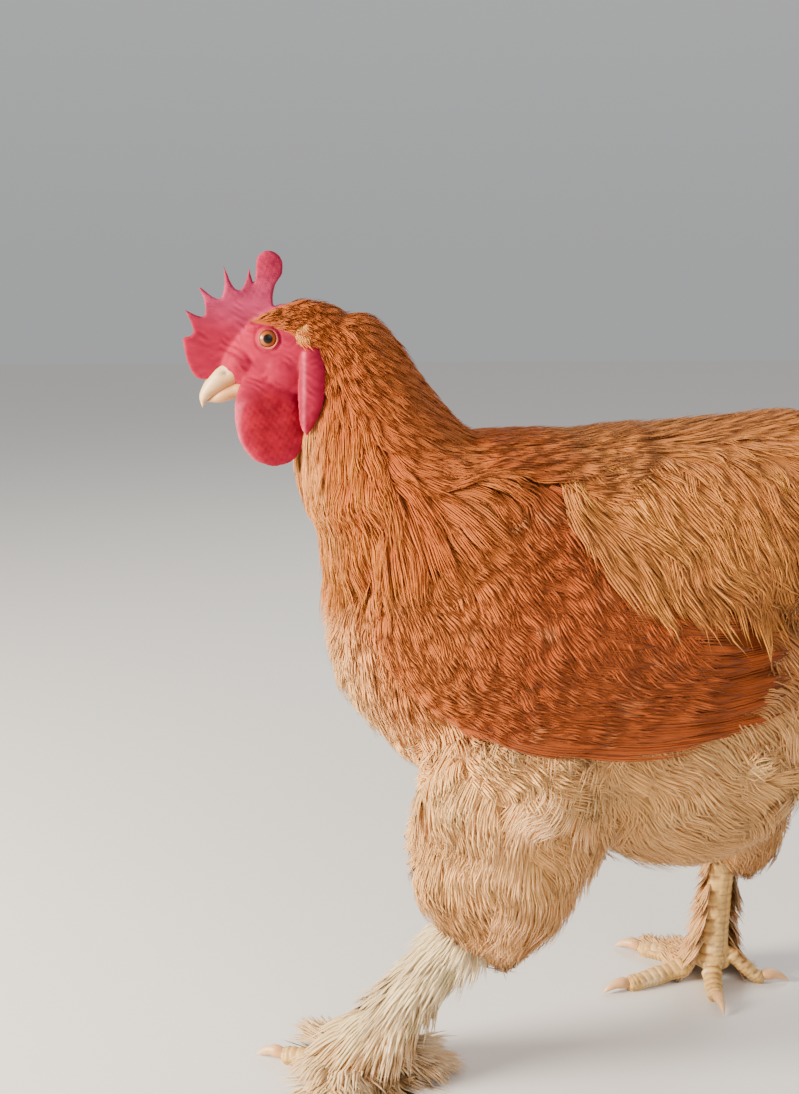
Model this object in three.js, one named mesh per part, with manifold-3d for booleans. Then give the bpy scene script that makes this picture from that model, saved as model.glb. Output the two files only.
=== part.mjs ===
// A buff feather-legged rooster at life size, walking with its left leg forward.
// Millimetres. +Z is up, the bird faces -Y and its left side is at +X.
// Forms are laid out with the bird's middle plane at x = 0 and the floor at z = 0;
// the last lines move the whole group so that its box is centred over the origin.

import * as THREE from "three";
import { mergeVertices } from "three/addons/utils/BufferGeometryUtils.js";
import Module from "manifold-3d";

const wasm = await Module();
wasm.setup();

const V = (x, y, z) => new THREE.Vector3(x, y, z);
const lerp = (a, b, t) => a + (b - a) * t;
const clamp = (v, low, high) => Math.min(high, Math.max(low, v));
const degrees = (d) => (d * Math.PI) / 180;

// Driving dimensions
const GAP = 0.35; // clearance between neighbouring pieces
const VANE = 0.9; // thickness of a feather vane
const LIFT = 0.6; // height of a feather over its core where it comes out
const ROOT = 3.5; // how deep a feather's root is sunk in what it grows from
const COAT = 7.5; // rise of a hackle or saddle feather from its root to its tip
const TILT = degrees(6); // turn of each feather about its length
const FLOOR_CLEAR = 1.4; // lowest height of a foot feather's middle over the floor
const LAYER = 1.4; // step between foot feathers that lie over one another
const TOE_VANE = 12; // width of a feather on a toe
const BELL_TURNS = [-75, 125]; // degrees round the shank that are feathered, 0 is outwards
const BELL_TIERS = [
  { u: 0.25, count: 4, length: 34 },
  { u: 0.34, count: 5, length: 36 },
  { u: 0.47, count: 6, length: 36 },
  { u: 0.6, count: 6, length: 34 },
];
const CORE_SHARE = 0.74; // size of a foot's core within its feathers
const WING_TOP = 104; // half width of the bird under the wing feathers
const WING_DEPTH = 10; // how far the wing feathers stand over that
const WING_PLAY = 2; // room between the wing and the feathers that lie over it
const EYE = { x: 13.4, y: -20.6, z: 477.6, radius: 7.2, height: 5.4 };
const COMB_THICK = 9.0; // comb at its base
const COMB_EDGE = 1.5; // how far the comb's edge is rounded off on each face
const WATTLE_THICK = 6.0;
const LOBE_THICK = 5.0;
const LID = { radius: 6.6, thick: 1.5, x: 16.6 };
const SHANK_RADIUS = 9.6;
const TOE_RADIUS = 6.8;
const CLAW_LENGTH = 17;
const SHANK_RINGS = 11;
const TOE_RINGS = 11; // rings along a toe, two to each scute
const SCUTE = 0.045; // share by which a scute stands out

// Colours of the finished pieces
const BUFF = 0xb0662a;
const GOLD = 0xc08238;
const CHESTNUT = 0x9a4a1e;
const CREAM = 0xd9b48a;
const RED = 0xb8323f;
const HORN = 0xe0c9a0;
const YELLOW = 0xc2a560;


// A seeded draw from 0 to 1, so that every build gives the same feathers.
let seed = 7;
function draw() {
  seed = (seed * 16807) % 2147483647;
  return seed / 2147483647;
}
const vary = (amount) => 1 + amount * (2 * draw() - 1);

// A smooth value along evenly spaced stations.
function along(values) {
  const curve = new THREE.CatmullRomCurve3(values.map((v, i) => V(i, v, 0)), false, "catmullrom");
  return (u) => curve.getPoint(clamp(u, 0, 1)).y;
}

// A form held between two rails in the side view, each a list of [y, z], with a
// half width and a lateral place at every station. It is a function of the share u
// of the way from the first station to the last and of the angle round the section,
// where 0 is the left side and a quarter turn is the top rail.
function railForm({ top, bottom, half, lateral = 0, square = 1 }) {
  const rail = (list) =>
    new THREE.CatmullRomCurve3(list.map(([y, z]) => V(0, y, z)), false, "catmullrom");
  const upper = rail(top);
  const lower = rail(bottom);
  const width = along(half);
  const aside = Array.isArray(lateral) ? along(lateral) : () => lateral;
  const corner = (v) => Math.sign(v) * Math.abs(v) ** square;
  return (u, angle) => {
    const t = upper.getPoint(clamp(u, 0, 1));
    const b = lower.getPoint(clamp(u, 0, 1));
    const p = t.clone().add(b).multiplyScalar(0.5);
    p.addScaledVector(t.sub(b), 0.5 * corner(Math.sin(angle)));
    p.x = aside(u) + Math.max(0, width(u)) * corner(Math.cos(angle));
    return p;
  };
}

// A form round a path, with a half width across it and a half height along `up`.
function tubeForm({ path, across, high, up = V(0, 0, 1) }) {
  const curve = new THREE.CatmullRomCurve3(path.map((p) => V(...p)), false, "catmullrom");
  const wide = along(across);
  const tall = along(high);
  return (u, angle) => {
    const s = clamp(u, 0, 1);
    const ahead = curve.getTangent(clamp(s, 0.001, 0.999));
    const side = ahead.clone().cross(up).normalize();
    const rise = side.clone().cross(ahead).normalize();
    return curve
      .getPoint(s)
      .addScaledVector(side, Math.max(0, wide(s)) * Math.cos(angle))
      .addScaledVector(rise, Math.max(0, tall(s)) * Math.sin(angle));
  };
}

// The closed mesh of a form: rings of `sides` points with a pole at each end.
function meshOf(form, rings, sides) {
  const points = [form(0, 0)];
  for (let i = 1; i < rings; i += 1) {
    for (let j = 0; j < sides; j += 1) points.push(form(i / rings, (2 * Math.PI * j) / sides));
  }
  points.push(form(1, 0));
  const at = (i, j) => 1 + (i - 1) * sides + (j % sides);
  const faces = [];
  for (let j = 0; j < sides; j += 1) {
    faces.push(0, at(1, j), at(1, j + 1));
    for (let i = 1; i < rings - 1; i += 1) {
      faces.push(at(i, j), at(i + 1, j), at(i + 1, j + 1));
      faces.push(at(i, j), at(i + 1, j + 1), at(i, j + 1));
    }
    faces.push(at(rings - 1, j), points.length - 1, at(rings - 1, j + 1));
  }
  return new THREE.BufferGeometry().setFromPoints(points).setIndex(faces);
}

// A geometry as a solid that faces out.
function solid(geometry) {
  const bare = new THREE.BufferGeometry();
  bare.setAttribute("position", geometry.getAttribute("position"));
  if (geometry.index) bare.setIndex(geometry.index);
  const merged = mergeVertices(bare, 1e-4);
  const triVerts = new Uint32Array(merged.index.array);
  const build = () =>
    new wasm.Manifold(
      new wasm.Mesh({ numProp: 3, vertProperties: merged.attributes.position.array, triVerts }),
    );
  const made = build();
  if (made.volume() > 0) return made;
  for (let i = 0; i < triVerts.length; i += 3) {
    [triVerts[i + 1], triVerts[i + 2]] = [triVerts[i + 2], triVerts[i + 1]];
  }
  return build();
}

// A copy of a geometry whose surface stands `by` millimetres further out.
function grown(geometry, by = GAP) {
  const bare = new THREE.BufferGeometry();
  bare.setAttribute("position", geometry.getAttribute("position").clone());
  bare.setIndex(geometry.index);
  const copy = mergeVertices(bare, 1e-4);
  copy.computeVertexNormals();
  const { position, normal } = copy.attributes;
  const sign = Math.sign(signedVolume(copy));
  for (let i = 0; i < position.count; i += 1) {
    position.setXYZ(
      i,
      position.getX(i) + sign * by * normal.getX(i),
      position.getY(i) + sign * by * normal.getY(i),
      position.getZ(i) + sign * by * normal.getZ(i),
    );
  }
  copy.deleteAttribute("normal");
  return copy;
}

function signedVolume(geometry) {
  const { position } = geometry.attributes;
  const point = (i) => V().fromBufferAttribute(position, geometry.index.getX(i));
  let sum = 0;
  for (let i = 0; i < geometry.index.count; i += 3) {
    sum += point(i).dot(point(i + 1).cross(point(i + 2)));
  }
  return sum / 6;
}

const fused = (solids) => solids.reduce((sum, s) => sum.add(s));
const cutBy = (body, cutters) => cutters.reduce((rest, c) => rest.subtract(c), body);

// The largest closed surface of a solid.
function largest(body) {
  return body.decompose().sort((a, b) => b.volume() - a.volume())[0];
}

// A feather is { spine, facings, width, shape }: the points along its middle from root
// to tip, the way its upper face looks at each, its full width, and the share of that
// width at each station between the two ends. As a solid it is a strip with a point at
// each end, whose two faces are split along the same diagonals. `room` makes it larger
// all round.
function feather({ spine, facings, width, shape }, room = 0) {
  const last = spine.length - 1;
  const beyond = (end, before) => {
    const ahead = end.clone().sub(before).normalize();
    return end.clone().addScaledVector(ahead, 3 * room);
  };
  const points = [beyond(spine[0], spine[1])];
  for (let k = 1; k < last; k += 1) {
    const ahead = spine[k + 1].clone().sub(spine[k - 1]).normalize();
    const side = ahead.clone().cross(facings[k]).normalize();
    const rise = side.clone().cross(ahead).normalize();
    for (const [across, up] of [[-1, 1], [1, 1], [1, -1], [-1, -1]]) {
      points.push(
        spine[k]
          .clone()
          .addScaledVector(side, across * ((shape[k - 1] * width) / 2 + room))
          .addScaledVector(rise, up * (VANE / 2 + room)),
      );
    }
  }
  points.push(beyond(spine[last], spine[last - 1]));
  const tip = points.length - 1;
  const faces = [0, 2, 1, 0, 3, 2, 0, 4, 3, 0, 1, 4];
  for (let a = 1; a + 4 < tip; a += 4) {
    const b = a + 4;
    faces.push(a, b + 1, b, a, a + 1, b + 1);
    faces.push(a + 3, b + 3, b + 2, a + 3, b + 2, a + 2);
    faces.push(a + 1, b + 2, b + 1, a + 1, a + 2, b + 2);
    faces.push(a, b, b + 3, a, b + 3, a + 3);
  }
  const end = tip - 4;
  faces.push(end, end + 1, tip, end + 1, end + 2, tip);
  faces.push(end + 2, end + 3, tip, end + 3, end, tip);
  return solid(new THREE.BufferGeometry().setFromPoints(points).setIndex(faces));
}

// The room that a list of feathers takes, with the gap to its neighbours.
const roomOf = (feathers) => fused(feathers.map((f) => feather(f, GAP)));

// The way out of a form's surface at a place on it.
function outward(form, u, angle) {
  const step = 0.004;
  const low = clamp(u - step, 0.001, 0.999);
  const high = clamp(u + step, 0.001, 0.999);
  const down = form(high, angle).sub(form(low, angle));
  const round = form(u, angle + 0.02).sub(form(u, angle - 0.02));
  const out = down.cross(round).normalize();
  const middle = form(u, angle).add(form(u, angle + Math.PI)).multiplyScalar(0.5);
  return out.dot(form(u, angle).sub(middle)) < 0 ? out.negate() : out;
}

const HACKLE_SHAPE = [0.95, 0.85];
const BLADE_SHAPE = [0.9, 0.95];
const SICKLE_SHAPE = [0.8, 1, 0.8];

// Turns a feather about its length, so that one edge lies over the next feather's.
function tilted(out, ahead, tilt) {
  return out.clone().addScaledVector(ahead.clone().cross(out), Math.tan(tilt)).normalize();
}

// A feather laid on a form: it leaves its sunk root at (u, angle), runs the way
// (du, da) for its length, and rises towards its tip so that each tier lies over the
// roots of the next. On both sides of the body the lower edge lies outermost.
function laidVane(form, feathering) {
  const { u, angle, du, da, length, width, rise, push } = feathering;
  const { depth = ROOT, shape = HACKLE_SHAPE } = feathering;
  const steps = shape.length + 1;
  const spine = [];
  const facings = [];
  let [s, a] = [u, angle];
  for (let k = 0; k <= steps; k += 1) {
    const facing = outward(form, s, a);
    const height = k === 0 ? -depth : LIFT + (rise * k) / steps;
    const point = form(s, a).addScaledVector(facing, height);
    spine.push(push && k > 0 ? push(point) : point);
    facings.push(facing);
    const tiny = 0.01;
    const pace = form(s + tiny * du, a + tiny * da).distanceTo(form(s, a)) / tiny;
    s = clamp(s + (du * length) / steps / Math.max(pace, 1), 0.002, 0.998);
    a += (da * length) / steps / Math.max(pace, 1);
  }
  const tilt = Math.abs(spine[1].x) < 4 ? 0 : -Math.sign(spine[1].x) * TILT;
  const ahead = spine[steps].clone().sub(spine[0]).normalize();
  return { spine, facings: facings.map((facing) => tilted(facing, ahead, tilt)), width, shape };
}

// Torso: breast, back, belly and the deep soft abdomen behind the legs.
const torsoForm = railForm({
  top: [[9, 300], [17, 340], [52, 366], [100, 386], [160, 394], [225, 396], [285, 402], [332, 398],
    [357, 345]],
  bottom: [[9, 300], [15, 258], [42, 224], [84, 186], [140, 158], [200, 132], [262, 126], [325, 182],
    [357, 345]],
  half: [0, 42, 70, 87, 96, 99, 98, 82, 0],
  square: 0.9,
});

// Saddle: the cushion over the back, and the core of its long feathers.
const saddleForm = railForm({
  top: [[133, 392], [150, 410], [188, 417], [232, 421], [282, 425], [322, 428], [348, 404]],
  bottom: [[133, 392], [142, 360], [176, 322], [226, 300], [280, 296], [322, 320], [348, 404]],
  half: [0, 64, 98, 109, 108, 84, 0],
  square: 0.85,
});

// Neck: the core of the hackle, from the back of the head to the shoulders.
const neckForm = railForm({
  top: [[14, 488], [40, 492], [59, 473], [73, 453], [86, 435], [100, 420], [110, 402], [84, 350]],
  bottom: [[14, 488], [4, 468], [-2, 440], [-5, 416], [-5, 396], [0, 376], [20, 352], [84, 350]],
  half: [0, 19, 25, 33, 44, 57, 60, 0],
});

// The lie of the hackle: the core's surface, carried on as a cape over the shoulders.
const capeForm = railForm({
  top: [[14, 488], [40, 492], [59, 473], [73, 453], [86, 435], [100, 420], [117, 408], [136, 400]],
  bottom: [[14, 488], [4, 468], [-2, 440], [-5, 416], [-5, 396], [-1, 377], [6, 357], [14, 338]],
  half: [0, 19, 25, 33, 44, 58, 73, 85],
});

// Head: skull and face.
const headForm = railForm({
  top: [[34, 468], [24, 493], [2, 499], [-18, 496], [-34, 485], [-46, 470], [-52, 459]],
  bottom: [[34, 468], [22, 448], [4, 436], [-16, 435], [-32, 442], [-44, 450], [-52, 459]],
  half: [0, 17.5, 20.5, 18, 13.5, 9, 0],
});

// Tail: the core that its feathers grow from, and the lie of the feathers over it.
const tailForm = railForm({
  top: [[322, 398], [334, 432], [354, 450], [378, 464], [396, 434]],
  bottom: [[322, 398], [332, 352], [354, 362], [380, 380], [396, 434]],
  half: [0, 37, 34, 29, 0],
});
const fanForm = railForm({
  top: [[326, 430], [352, 455], [380, 478], [409, 497], [440, 508]],
  bottom: [[326, 348], [352, 358], [382, 372], [412, 390], [442, 414]],
  half: [40, 36, 31, 27, 24],
});

const torsoMesh = meshOf(torsoForm, 14, 16);
const saddleMesh = meshOf(saddleForm, 9, 12);
const neckMesh = meshOf(neckForm, 10, 12);
const headMesh = meshOf(headForm, 10, 11);
const tailMesh = meshOf(tailForm, 8, 12);
const torsoCut = solid(grown(torsoMesh));
const saddleCut = solid(grown(saddleMesh));
const neckCut = solid(grown(neckMesh));
const headCut = solid(grown(headMesh));
const tailCut = solid(grown(tailMesh));
const floorCut = solid(new THREE.BoxGeometry(900, 900, 100).translate(0, 150, -50));

// Folded wing: the sheet that its feathers lie on, as the distance from the middle
// plane at a place in the side view.
function wingSheet(y, z) {
  const back = Math.max(0, y - 150);
  const front = Math.max(0, 150 - y);
  const over = Math.max(0, z - 300);
  const under = Math.max(0, 300 - z);
  const curve = 0.0006 * back ** 2 + 0.0022 * front ** 2 + 0.0028 * over ** 2 + 0.002 * under ** 2;
  return WING_TOP - curve;
}

const WING_CORE = {
  top: [[52, 326], [60, 358], [92, 384], [140, 392], [190, 374], [232, 340], [262, 292]],
  bottom: [[52, 326], [55, 304], [78, 280], [112, 262], [158, 252], [212, 254], [262, 292]],
  half: [0, 22, 30, 32, 30, 24, 0],
  lateral: [70, 76, 84, 88, 88, 86, 84],
};
const WING_ROOM = {
  top: [[42, 330], [50, 374], [88, 398], [140, 402], [194, 386], [246, 350], [306, 284]],
  bottom: [[42, 330], [46, 296], [72, 266], [110, 245], [160, 232], [222, 234], [306, 270]],
  half: [0, 34, 44, 46, 46, 40, 0],
  lateral: [70, 76, 84, 88, 88, 86, 84],
};

// A wing-shaped form, flattened on its outer side to the sheet and `depth` over it.
function wingMesh(rails, side, depth) {
  const geometry = meshOf(railForm(rails), 10, 14);
  const { position } = geometry.attributes;
  for (let i = 0; i < position.count; i += 1) {
    const sheet = wingSheet(position.getY(i), position.getZ(i)) + depth;
    position.setX(i, side * Math.min(position.getX(i), sheet));
  }
  return geometry;
}

// A feather on the wing's sheet, from `root` to `tip` in the side view, with its
// middle lowered by `sag` and its height over the sheet rising to `high`.
function wingVane(side, { root, tip, sag, high, width }) {
  const steps = BLADE_SHAPE.length + 1;
  const spine = [];
  const facings = [];
  for (let k = 0; k <= steps; k += 1) {
    const s = k / steps;
    const y = lerp(root[0], tip[0], s);
    const z = lerp(root[1], tip[1], s) - 4 * sag * s * (1 - s);
    const height = k === 0 ? -ROOT : lerp(LIFT, high, s);
    spine.push(V(side * (wingSheet(y, z) + height), y, z));
    const slopeY = (wingSheet(y + 1, z) - wingSheet(y - 1, z)) / 2;
    const slopeZ = (wingSheet(y, z + 1) - wingSheet(y, z - 1)) / 2;
    facings.push(V(side, -slopeY, -slopeZ).normalize());
  }
  const ahead = spine[steps].clone().sub(spine[0]).normalize();
  const lapped = facings.map((facing) => tilted(facing, ahead, -side * TILT));
  return { spine, facings: lapped, width, shape: BLADE_SHAPE };
}

// Rows of wing feathers, from the lowest to the outermost: primaries, secondaries,
// greater coverts, two rows of lesser coverts, and the shoulder. Roots and tips are
// spread between two places in the side view.
const WING_ROWS = [
  {
    count: 5, roots: [[176, 262], [192, 280]], tips: [[292, 264], [286, 288]],
    sag: [8, 3], high: 2.2, width: 15,
  },
  {
    count: 7, roots: [[114, 266], [172, 354]], tips: [[250, 254], [262, 330]],
    sag: [12, 0], high: 8, width: 20,
  },
  {
    count: 6, roots: [[86, 276], [146, 374]], tips: [[150, 258], [212, 346]],
    sag: [4, 0], high: 6.5, width: 24,
  },
  {
    count: 5, roots: [[66, 292], [112, 380]], tips: [[116, 270], [164, 364]],
    sag: [2, 0], high: 6.5, width: 25,
  },
  {
    count: 4, roots: [[56, 310], [86, 378]], tips: [[86, 286], [128, 376]],
    sag: [1, 0], high: 6, width: 25,
  },
];

function wingFeathers(side) {
  return WING_ROWS.flatMap(({ count, roots, tips, sag, high, width }) =>
    Array.from({ length: count }, (_, i) => {
      const s = i / (count - 1);
      const between = ([a, b]) => [lerp(a[0], b[0], s), lerp(a[1], b[1], s)];
      const tip = between(tips);
      tip[0] += 3 * (vary(1) - 1);
      return wingVane(side, {
        root: between(roots), tip, sag: lerp(...sag, s), high, width: width * vary(0.05),
      });
    }),
  );
}

// Moves a cape or saddle feather out over the folded wing, with a soft edge all round
// the wing's outline in the side view. The wing lies beyond `inner` from the middle.
const WING_OUTLINE = { front: 40, back: 306, top: 398, edge: 20, inner: 30 };

function clearOfWing(point) {
  const { front, back, top, edge, inner } = WING_OUTLINE;
  const within = Math.min(top - point.z, point.y - front, back - point.y);
  const least = wingSheet(point.y, point.z) + WING_DEPTH + WING_PLAY;
  const x = Math.abs(point.x);
  if (x > inner) point.x = Math.sign(point.x) * Math.max(x, lerp(x, least, clamp(within / edge, 0, 1)));
  return point;
}

// Hackle: tiers of pointed feathers round the neck. The upper tiers leave a bare throat.
const HACKLE_TIERS = [
  { u: 0.1, count: 6, length: 36, bare: 0.14 },
  { u: 0.2, count: 8, length: 40, bare: 0.12 },
  { u: 0.32, count: 10, length: 44, bare: 0.06 },
  { u: 0.44, count: 11, length: 47, bare: 0 },
  { u: 0.55, count: 12, length: 50, bare: 0 },
  { u: 0.66, count: 13, length: 56, bare: 0 },
];

function hackles() {
  return HACKLE_TIERS.flatMap(({ u, count, length, bare }, tier) =>
    Array.from({ length: count }, (_, i) => {
      const share = (i + (tier % 2 ? 0.5 : 0)) / count;
      const angle = -Math.PI / 2 + 2 * Math.PI * lerp(bare, 1 - bare, share);
      const round = capeForm(u + 0.1, angle).distanceTo(capeForm(u + 0.1, angle + 0.05)) / 0.05;
      const pitch = (round * 2 * Math.PI * (1 - 2 * bare)) / count;
      return laidVane(capeForm, {
        u, angle, du: 1, da: 0.12 * Math.cos(angle), length: length * vary(0.08),
        width: clamp(1.08 * pitch, 8, 30), rise: COAT, push: clearOfWing,
      });
    }),
  );
}

// Saddle feathers run back and down from the top of the back on both sides.
const SADDLE_TIERS = [
  { angle: 84, count: 5, from: 0.16, length: 60 },
  { angle: 60, count: 5, from: 0.23, length: 68 },
  { angle: 36, count: 5, from: 0.18, length: 76 },
  { angle: 12, count: 4, from: 0.36, length: 84 },
];

const SADDLE_PITCH = 0.132; // share of the saddle's length from one feather to the next

function saddleFeathers() {
  return [1, -1].flatMap((side) =>
    SADDLE_TIERS.flatMap(({ angle, count, from, length }) =>
      Array.from({ length: count }, (_, i) => {
        const u = from + SADDLE_PITCH * i;
        const turn = side > 0 ? degrees(angle) : Math.PI - degrees(angle);
        return laidVane(saddleForm, {
          u, angle: turn, du: 0.2, da: -side * 0.8, length: length * vary(0.08), width: 27,
          rise: COAT, depth: 5, push: clearOfWing,
        });
      }),
    ),
  );
}

// Tail feathers on each side, from the main tail out to the coverts over its root.
const TAIL_TIERS = [
  { u: 0.34, count: 6, length: 84, rise: 2, depth: 13 },
  { u: 0.24, count: 5, length: 80, rise: 7, depth: 9 },
  { u: 0.16, count: 5, length: 62, rise: 9, depth: 9 },
];
const TAIL_TURNS = [80, -62]; // degrees round the tail from its top to its lowest feather

function tailFeathers() {
  return [1, -1].flatMap((side) =>
    TAIL_TIERS.flatMap(({ u, count, length, rise, depth }, tier) =>
      Array.from({ length: count }, (_, i) => {
        const turn = degrees(lerp(...TAIL_TURNS, (i + 0.25 * tier) / (count - 0.5)));
        return laidVane(fanForm, {
          u, angle: side > 0 ? turn : Math.PI - turn, du: 1, da: -side * 0.1 * tier,
          length: length * vary(0.06), width: 20 + tier, rise, depth, shape: SICKLE_SHAPE,
        });
      }),
    ),
  );
}

// Thighs: soft loose feathering down to the hocks.
const THIGHS = {
  left: railForm({
    top: [[128, 262], [82, 246], [60, 208], [55, 170], [58, 136], [82, 100], [124, 66]],
    bottom: [[128, 262], [186, 246], [202, 205], [194, 168], [178, 132], [156, 94], [124, 66]],
    half: [0, 40, 46, 43, 37, 25, 0],
    lateral: [58, 60, 62, 62, 60, 57, 55],
  }),
  right: railForm({
    top: [[250, 262], [204, 240], [214, 200], [226, 164], [244, 132], [276, 100], [322, 74]],
    bottom: [[250, 262], [304, 250], [338, 215], [350, 180], [354, 146], [348, 106], [322, 74]],
    half: [0, 38, 43, 40, 34, 24, 0],
    lateral: [-58, -60, -62, -61, -58, -55, -53],
  }),
};
const thighMesh = { left: meshOf(THIGHS.left, 10, 14), right: meshOf(THIGHS.right, 10, 14) };

// Legs: where the hock, the ankle and each toe's path are, for either foot.
const LEGS = {
  left: {
    side: 1,
    bell: [13, 18, 25, 33, 44],
    shank: [[53, 112, 122], [53, 100, 104], [52, 76, 76], [50, 54, 48], [48, 38, 26], [48, 34, 12],
      [48, 33, 4]],
    toes: [
      [[47, 42, 19], [45, 56, 10], [44, 68, 4], [44, 76, 3.5]],
      [[43, 28, 12], [31, 19, 7], [18, 9, 5], [12, 5, 4]],
      [[46, 22, 12], [39, 4, 7], [31, -14, 5], [28, -22, 4]],
      [[54, 28, 12], [66, 14, 7], [78, 1, 5], [84, -5, 4]],
    ],
  },
  right: {
    side: -1,
    bell: [10, 12.5, 17, 25, 36],
    shank: [[-53, 302, 138], [-54, 303, 120], [-55, 300, 88], [-57, 299, 55], [-58, 298, 28],
      [-59, 298, 13], [-59, 298, 4]],
    toes: [
      [[-56, 306, 26], [-53, 317, 15], [-50, 329, 4.5], [-49, 336, 3.5]],
      [[-54, 296, 12], [-40, 293, 7], [-27, 291, 5], [-21, 291, 4]],
      [[-60, 287, 12], [-55, 262, 7], [-47, 238, 5], [-44, 228, 4]],
      [[-66, 291, 12], [-80, 276, 7], [-94, 258, 5], [-99, 250, 4]],
    ],
  },
};

// Shank with its foot: scales are steps in its own surface, the hock is its widest part.
const shankForm = ({ shank }) =>
  tubeForm({
    path: shank,
    across: [0, 1.15, 0.86, 0.84, 0.95, 1.2, 0].map((r) => r * SHANK_RADIUS),
    high: [0, 1.25, 0.98, 0.98, 1.1, 1.35, 0].map((r) => r * SHANK_RADIUS),
    up: V(0, -1, 0),
  });

// A toe: its scutes are steps round it, as small swellings one after the other.
function toeForm(path, size) {
  const step = (u) => 1 + SCUTE * Math.cos(Math.PI * TOE_RINGS * u);
  const smooth = tubeForm({
    path,
    across: [0, 1.05, 0.92, 0.98, 0.86, 0.88, 0.7, 0].map((r) => r * size),
    high: [0, 1.1, 0.92, 0.96, 0.84, 0.86, 0.7, 0].map((r) => r * size),
  });
  return (u, angle) => {
    const middle = smooth(u, 0).add(smooth(u, Math.PI)).multiplyScalar(0.5);
    return middle.addScaledVector(smooth(u, angle).sub(middle), step(u));
  };
}

// A claw: a curved cone that leaves the toe's end and comes down to the floor.
function clawForm(path) {
  const [before, end] = [V(...path[path.length - 2]), V(...path[path.length - 1])];
  const ahead = end.clone().sub(before).setZ(0).normalize();
  const at = (forward, z) => {
    const p = end.clone().addScaledVector(ahead, forward);
    return [p.x, p.y, z];
  };
  return tubeForm({
    path: [at(-2, 6.5), at(2, 7), at(0.4 * CLAW_LENGTH, 6.6), at(0.75 * CLAW_LENGTH, 4.4),
      at(CLAW_LENGTH, 1)],
    across: [0, 3, 2.5, 1.6, 0],
    high: [0, 3.4, 2.9, 1.9, 0],
  });
}

// Comb: a single upright blade with five points and a rounded lobe behind.
const COMB_OUTLINE = [
  [-10, 494], [-17, 504], [-12, 516], [-14, 526], [-21, 530], [-26.5, 526], [-28, 514], [-31.5, 520],
  [-37, 509], [-47, 521], [-46, 503], [-63, 509], [-57, 492], [-71, 494], [-65.5, 480], [-73, 477],
  [-70.5, 466], [-68, 457], [-62, 451.5], [-54, 455], [-44, 464], [-30, 480],
];

function makeComb() {
  const outline = new THREE.Shape(COMB_OUTLINE.map(([y, z]) => new THREE.Vector2(y, z)));
  const depth = COMB_THICK - 2 * COMB_EDGE;
  const blade = new THREE.ExtrudeGeometry(outline, {
    depth, bevelThickness: COMB_EDGE, bevelSize: 1.2, bevelOffset: -1.2, bevelSegments: 1,
  });
  // The blade is drawn in x and y; it is stood up, centred, and thinned to its points.
  const { position } = blade.attributes;
  for (let i = 0; i < position.count; i += 1) {
    const y = position.getX(i);
    const z = position.getY(i);
    const rise = clamp((z - 470 - 0.6 * (y + 40)) / 50, 0, 1);
    const x = (position.getZ(i) - depth / 2) * lerp(1, 0.45, rise);
    position.setXYZ(i, x, y, z);
  }
  return solid(blade);
}

// Wattle: a thin hanging disc, thickest at its root.
const wattleForm = (side) =>
  railForm({
    top: [[-24, 456], [-7, 449], [-1, 434], [1, 418], [-4, 406], [-17, 399]],
    bottom: [[-24, 456], [-37, 452], [-42, 436], [-41, 420], [-35, 408], [-17, 399]],
    half: [0, 0.62, 0.6, 0.52, 0.42, 0].map((r) => r * WATTLE_THICK),
    lateral: [11, 12, 13.5, 14.5, 14.5, 14].map((x) => side * x),
  });

// Ear lobe: long and flat, behind the wattle.
const lobeForm = (side) =>
  railForm({
    top: [[8, 477], [13, 466], [14, 452], [12, 438], [7, 426], [2, 418]],
    bottom: [[8, 477], [0, 468], [-3, 452], [-3, 438], [-2, 426], [2, 418]],
    half: [0, 0.5, 0.6, 0.6, 0.5, 0].map((r) => r * LOBE_THICK),
    lateral: [19, 21.5, 23, 23.5, 23, 22].map((x) => side * x),
  });

// Beak: the upper half hooks over the lower one.
const upperBeakForm = railForm({
  top: [[-34, 458], [-46, 463], [-54, 457], [-60, 448], [-63.5, 440], [-62.5, 434.5]],
  bottom: [[-34, 458], [-36, 452.5], [-46, 449], [-54, 444.5], [-59, 440], [-62.5, 434.5]],
  half: [0, 8.5, 7.4, 5.4, 3, 0],
});
const lowerBeakForm = railForm({
  top: [[-32, 450], [-38, 450], [-46, 447], [-53, 443], [-59.5, 437.5]],
  bottom: [[-32, 450], [-34, 444], [-42, 441], [-51, 438], [-59.5, 437.5]],
  half: [0, 8, 6.6, 4.4, 0],
});

// The raised rim of lids round an eye.
function lids(side) {
  const rim = new THREE.TorusGeometry(LID.radius, LID.thick, 4, 10);
  return solid(rim.rotateY(Math.PI / 2).translate(side * LID.x, EYE.y, EYE.z));
}

// The tuft of short feathers over an ear.
function earTuft(side, further = 0) {
  const tuft = new THREE.SphereGeometry(1, 6, 5).scale(4 + further, 7 + further, 10 + further);
  return solid(tuft.rotateX(degrees(-18)).translate(side * 18.5, 3, 478));
}

const lobeMeshes = [1, -1].map((side) => meshOf(lobeForm(side), 8, 8));
const wattleMeshes = [1, -1].map((side) => meshOf(wattleForm(side), 9, 10));
const faceCuts = [...lobeMeshes, ...wattleMeshes].map((mesh) => solid(grown(mesh)));
const upperBeakMesh = meshOf(upperBeakForm, 8, 10);
const lowerBeakMesh = meshOf(lowerBeakForm, 7, 10);
const upperBeakCut = solid(grown(upperBeakMesh));
const lowerBeakCut = solid(grown(lowerBeakMesh));

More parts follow.
